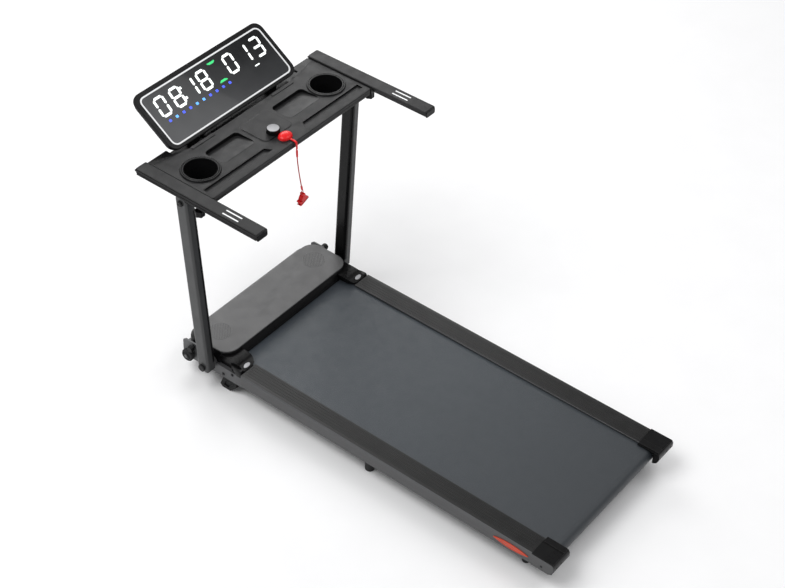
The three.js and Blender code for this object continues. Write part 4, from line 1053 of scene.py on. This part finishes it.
def display_shell():
    """Ribs round the edge of the housing, and vents and screws on its back."""
    out, inset = 0.35, 2
    outer = round_rect(-out - SCREEN_HALF, SCREEN_HALF + out, -out, SCREEN_LONG + out, 26, 10)
    inner = round_rect(inset - SCREEN_HALF, SCREEN_HALF - inset, inset, SCREEN_LONG - inset,
                       24, 10)
    ribs = Shape()
    for z in (-3.2, -6.4):
        ribs.ring(outer, inner, z - 0.5, z + 0.5, SCREEN)
    ribs.make("display_edge_ribs", "black_plastic", "display", bevel=0.2)
    vents = Shape()
    for i in range(11):
        x = -75 + 15 * i
        vents.prism(round_rect(x - 2, x + 2, 100, 140, 1.9, 4), -26.5, -25.8, SCREEN)
    vents.make("display_vents", "frame_steel", "display", bevel=0.15)
    screws = Shape()
    head = [(0, -26.8), (3.4, -26.8), (3.8, -26.2), (3.8, -25.6), (0, -25.6)]
    for x in (-190, 190):
        for y in (30, 140):
            screws.lathe(head, 20, SCREEN @ at(x, y))
    screws.make("display_screws", "roller_steel", "display", bevel=0.15)


display_lamps()
display_shell()


# ---------------------------------------------------------------- fasteners, knobs and wheels
# Centres, as y and z; a clamp knob's, which points down, as x and y.
PIVOT_AT, CONSOLE_PIVOT_AT = (437, 78), (437, 672)
WHEEL_AT, LOCK_AT = (513, 64), (500, 94)
FRAME_BOLTS = ((362, 68), (470, 68), (395, 52))
CLAMP_AT = (332, 380)
POST_X, POST_LEAN = 288, math.tan(math.radians(3.6))
INLET_PINS = ((-199, 38.5), (-192, 31.5), (-185, 38.5))
INLET_Y = 532


def bolt_head(name, side, body, place, face, radius):
    """Washer ring and hex socket on the flat head of a bolt."""
    ring = Shape().hoop(radius * 0.98, radius * 0.62, 36, face - 0.3, face + 0.25, place)
    ring.make(f"{name}_ring_{side}", "black_steel", body, bevel=0.2)
    socket = Shape().prism(circle(0, 0, radius * 0.46, 6), face - 0.3, face + 0.08, place)
    socket.make(f"{name}_socket_{side}", "black_plastic", body)


def fasteners(side, s):
    """Bolt heads, wheel hub, knob details, frame bolts and the front foot's outline."""
    bolt_head("pivot", side, "base", along_x(s, *PIVOT_AT), 311.6, 8)
    bolt_head("console", side, "console", along_x(s, *CONSOLE_PIVOT_AT), 347.6, 6.5)
    place = along_x(s, *WHEEL_AT)
    hub = Shape().hoop(8.4, 6.1, 32, 289.2, 291.2, place)
    for t in angles(5):
        hub.prism(turned(t, slab(9.2, 12.7, 1.3, -1.3)), 287.0, 288.8, place)
    hub.make(f"wheel_hub_{side}", "black_steel", f"wheel_{side}", bevel=0.4)
    grip = Shape()
    for x, y in circle(0, 0, 9.4, 14):
        grip.prism(circle(x, y, 0.8, 8), 278.4, 287.2, along_x(s, *LOCK_AT))
    grip.make(f"lock_grip_{side}", "black_plastic", f"lock_knob_{side}", bevel=0.2)
    cap = Shape().disc(6.2, 659.3, 660.5, 28, at(s * CLAMP_AT[0], CLAMP_AT[1]))
    cap.make(f"clamp_cap_{side}", "black_steel", f"clamp_knob_{side}", bevel=0.2)
    bolts = Shape()
    for y, z in FRAME_BOLTS:
        place = along_x(s, y, z)
        bolts.disc(5.0, 267, 268.8, 24, place)
        bolts.prism(circle(0, 0, 3.8, 6, 0.3), 268.6, 270.6, place)
    bolts.make(f"frame_bolts_{side}", "black_steel", "base", bevel=0.35)
    outline = Shape().ring([(357, 35), (389, 35), (398, 12), (378, 8)],
                           [(360.5, 33), (387, 33), (394.5, 13.6), (379.5, 10.6)],
                           265.0, 268.5, along_x(s))
    outline.make(f"foot_outline_{side}", "black_plastic", "base", bevel=0.3)


def post_lining(side, s):
    """Black strip that covers the inner face of an upright and wraps its two inner corners."""
    def path(grow):
        r = 8 + grow
        front = [(8 + r * math.cos(t), 12 + r * math.sin(t))
                 for t in (math.pi / 2 * i / 6 for i in range(7))]
        rear = [(u, -v) for u, v in front]
        return [(5, -20 - grow)] + rear[::-1] + front + [(5, 20 + grow)]

    y, z = PIVOT_AT
    place = Matrix(((-s, 0, s * POST_LEAN, s * (POST_X - POST_LEAN * z)), (0, 1, 0, y),
                    (0, 0, 1, 0), (0, 0, 0, 1)))
    lining = Shape().prism(path(0.35) + path(-0.3)[::-1], 94, 645, place)
    lining.make(f"post_lining_{side}", "black_plastic", "uprights", bevel=0.1)


def inlet_pins():
    pins = Shape()
    for x, z in INLET_PINS:
        pins.prism(slab(x - 1, x + 1, z - 2, z + 2), 0, 12, along_y(0, INLET_Y))
    pins.make("inlet_pins", "roller_steel", "base", bevel=0.3)


for side_name, sign in SIDES:
    fasteners(side_name, sign)
    post_lining(side_name, sign)
inlet_pins()


# ---------------------------------------------------------------- floor and light
FLOOR_HALF = 9.0
WORLD_COLOUR, WORLD_STRENGTH = (0.95, 0.95, 0.955, 1), 0.50


def add_floor():
    mesh = bpy.data.meshes.new("floor")
    corners = slab(-FLOOR_HALF, FLOOR_HALF, -FLOOR_HALF, FLOOR_HALF)
    mesh.from_pydata([(x, y, 0) for x, y in corners], [], [[0, 1, 2, 3]])
    floor = bpy.data.objects.new("floor", mesh)
    SCENE.collection.objects.link(floor)
    mesh.materials.append(MATERIALS["floor"])


def add_light(name, place, size, power, target=(0, 0, 0.3)):
    """Rectangular lamp of a size in metres and a power in watts, which faces the target."""
    data = bpy.data.lights.new(name, "AREA")
    data.shape = "RECTANGLE"
    data.size, data.size_y = size
    data.energy = power
    lamp = bpy.data.objects.new(name, data)
    SCENE.collection.objects.link(lamp)
    lamp.location = place
    aim = Vector(target) - Vector(place)
    lamp.rotation_euler = aim.to_track_quat("-Z", "Y").to_euler()


def add_studio():
    world = bpy.data.worlds.new("studio")
    world.use_nodes = True
    background = world.node_tree.nodes["Background"]
    background.inputs[0].default_value = WORLD_COLOUR
    background.inputs[1].default_value = WORLD_STRENGTH
    SCENE.world = world
    add_light("key", (-2.0, 1.2, 4.2), (3.2, 2.4), 112)
    add_light("back", (2.6, 3.4, 2.6), (3.0, 2.0), 75)
    add_light("top", (1.9, -2.1, 4.2), (2.8, 2.2), 46, (1.2, -1.3, 0))


add_floor()
add_studio()
SCENE.view_settings.view_transform = "Standard"
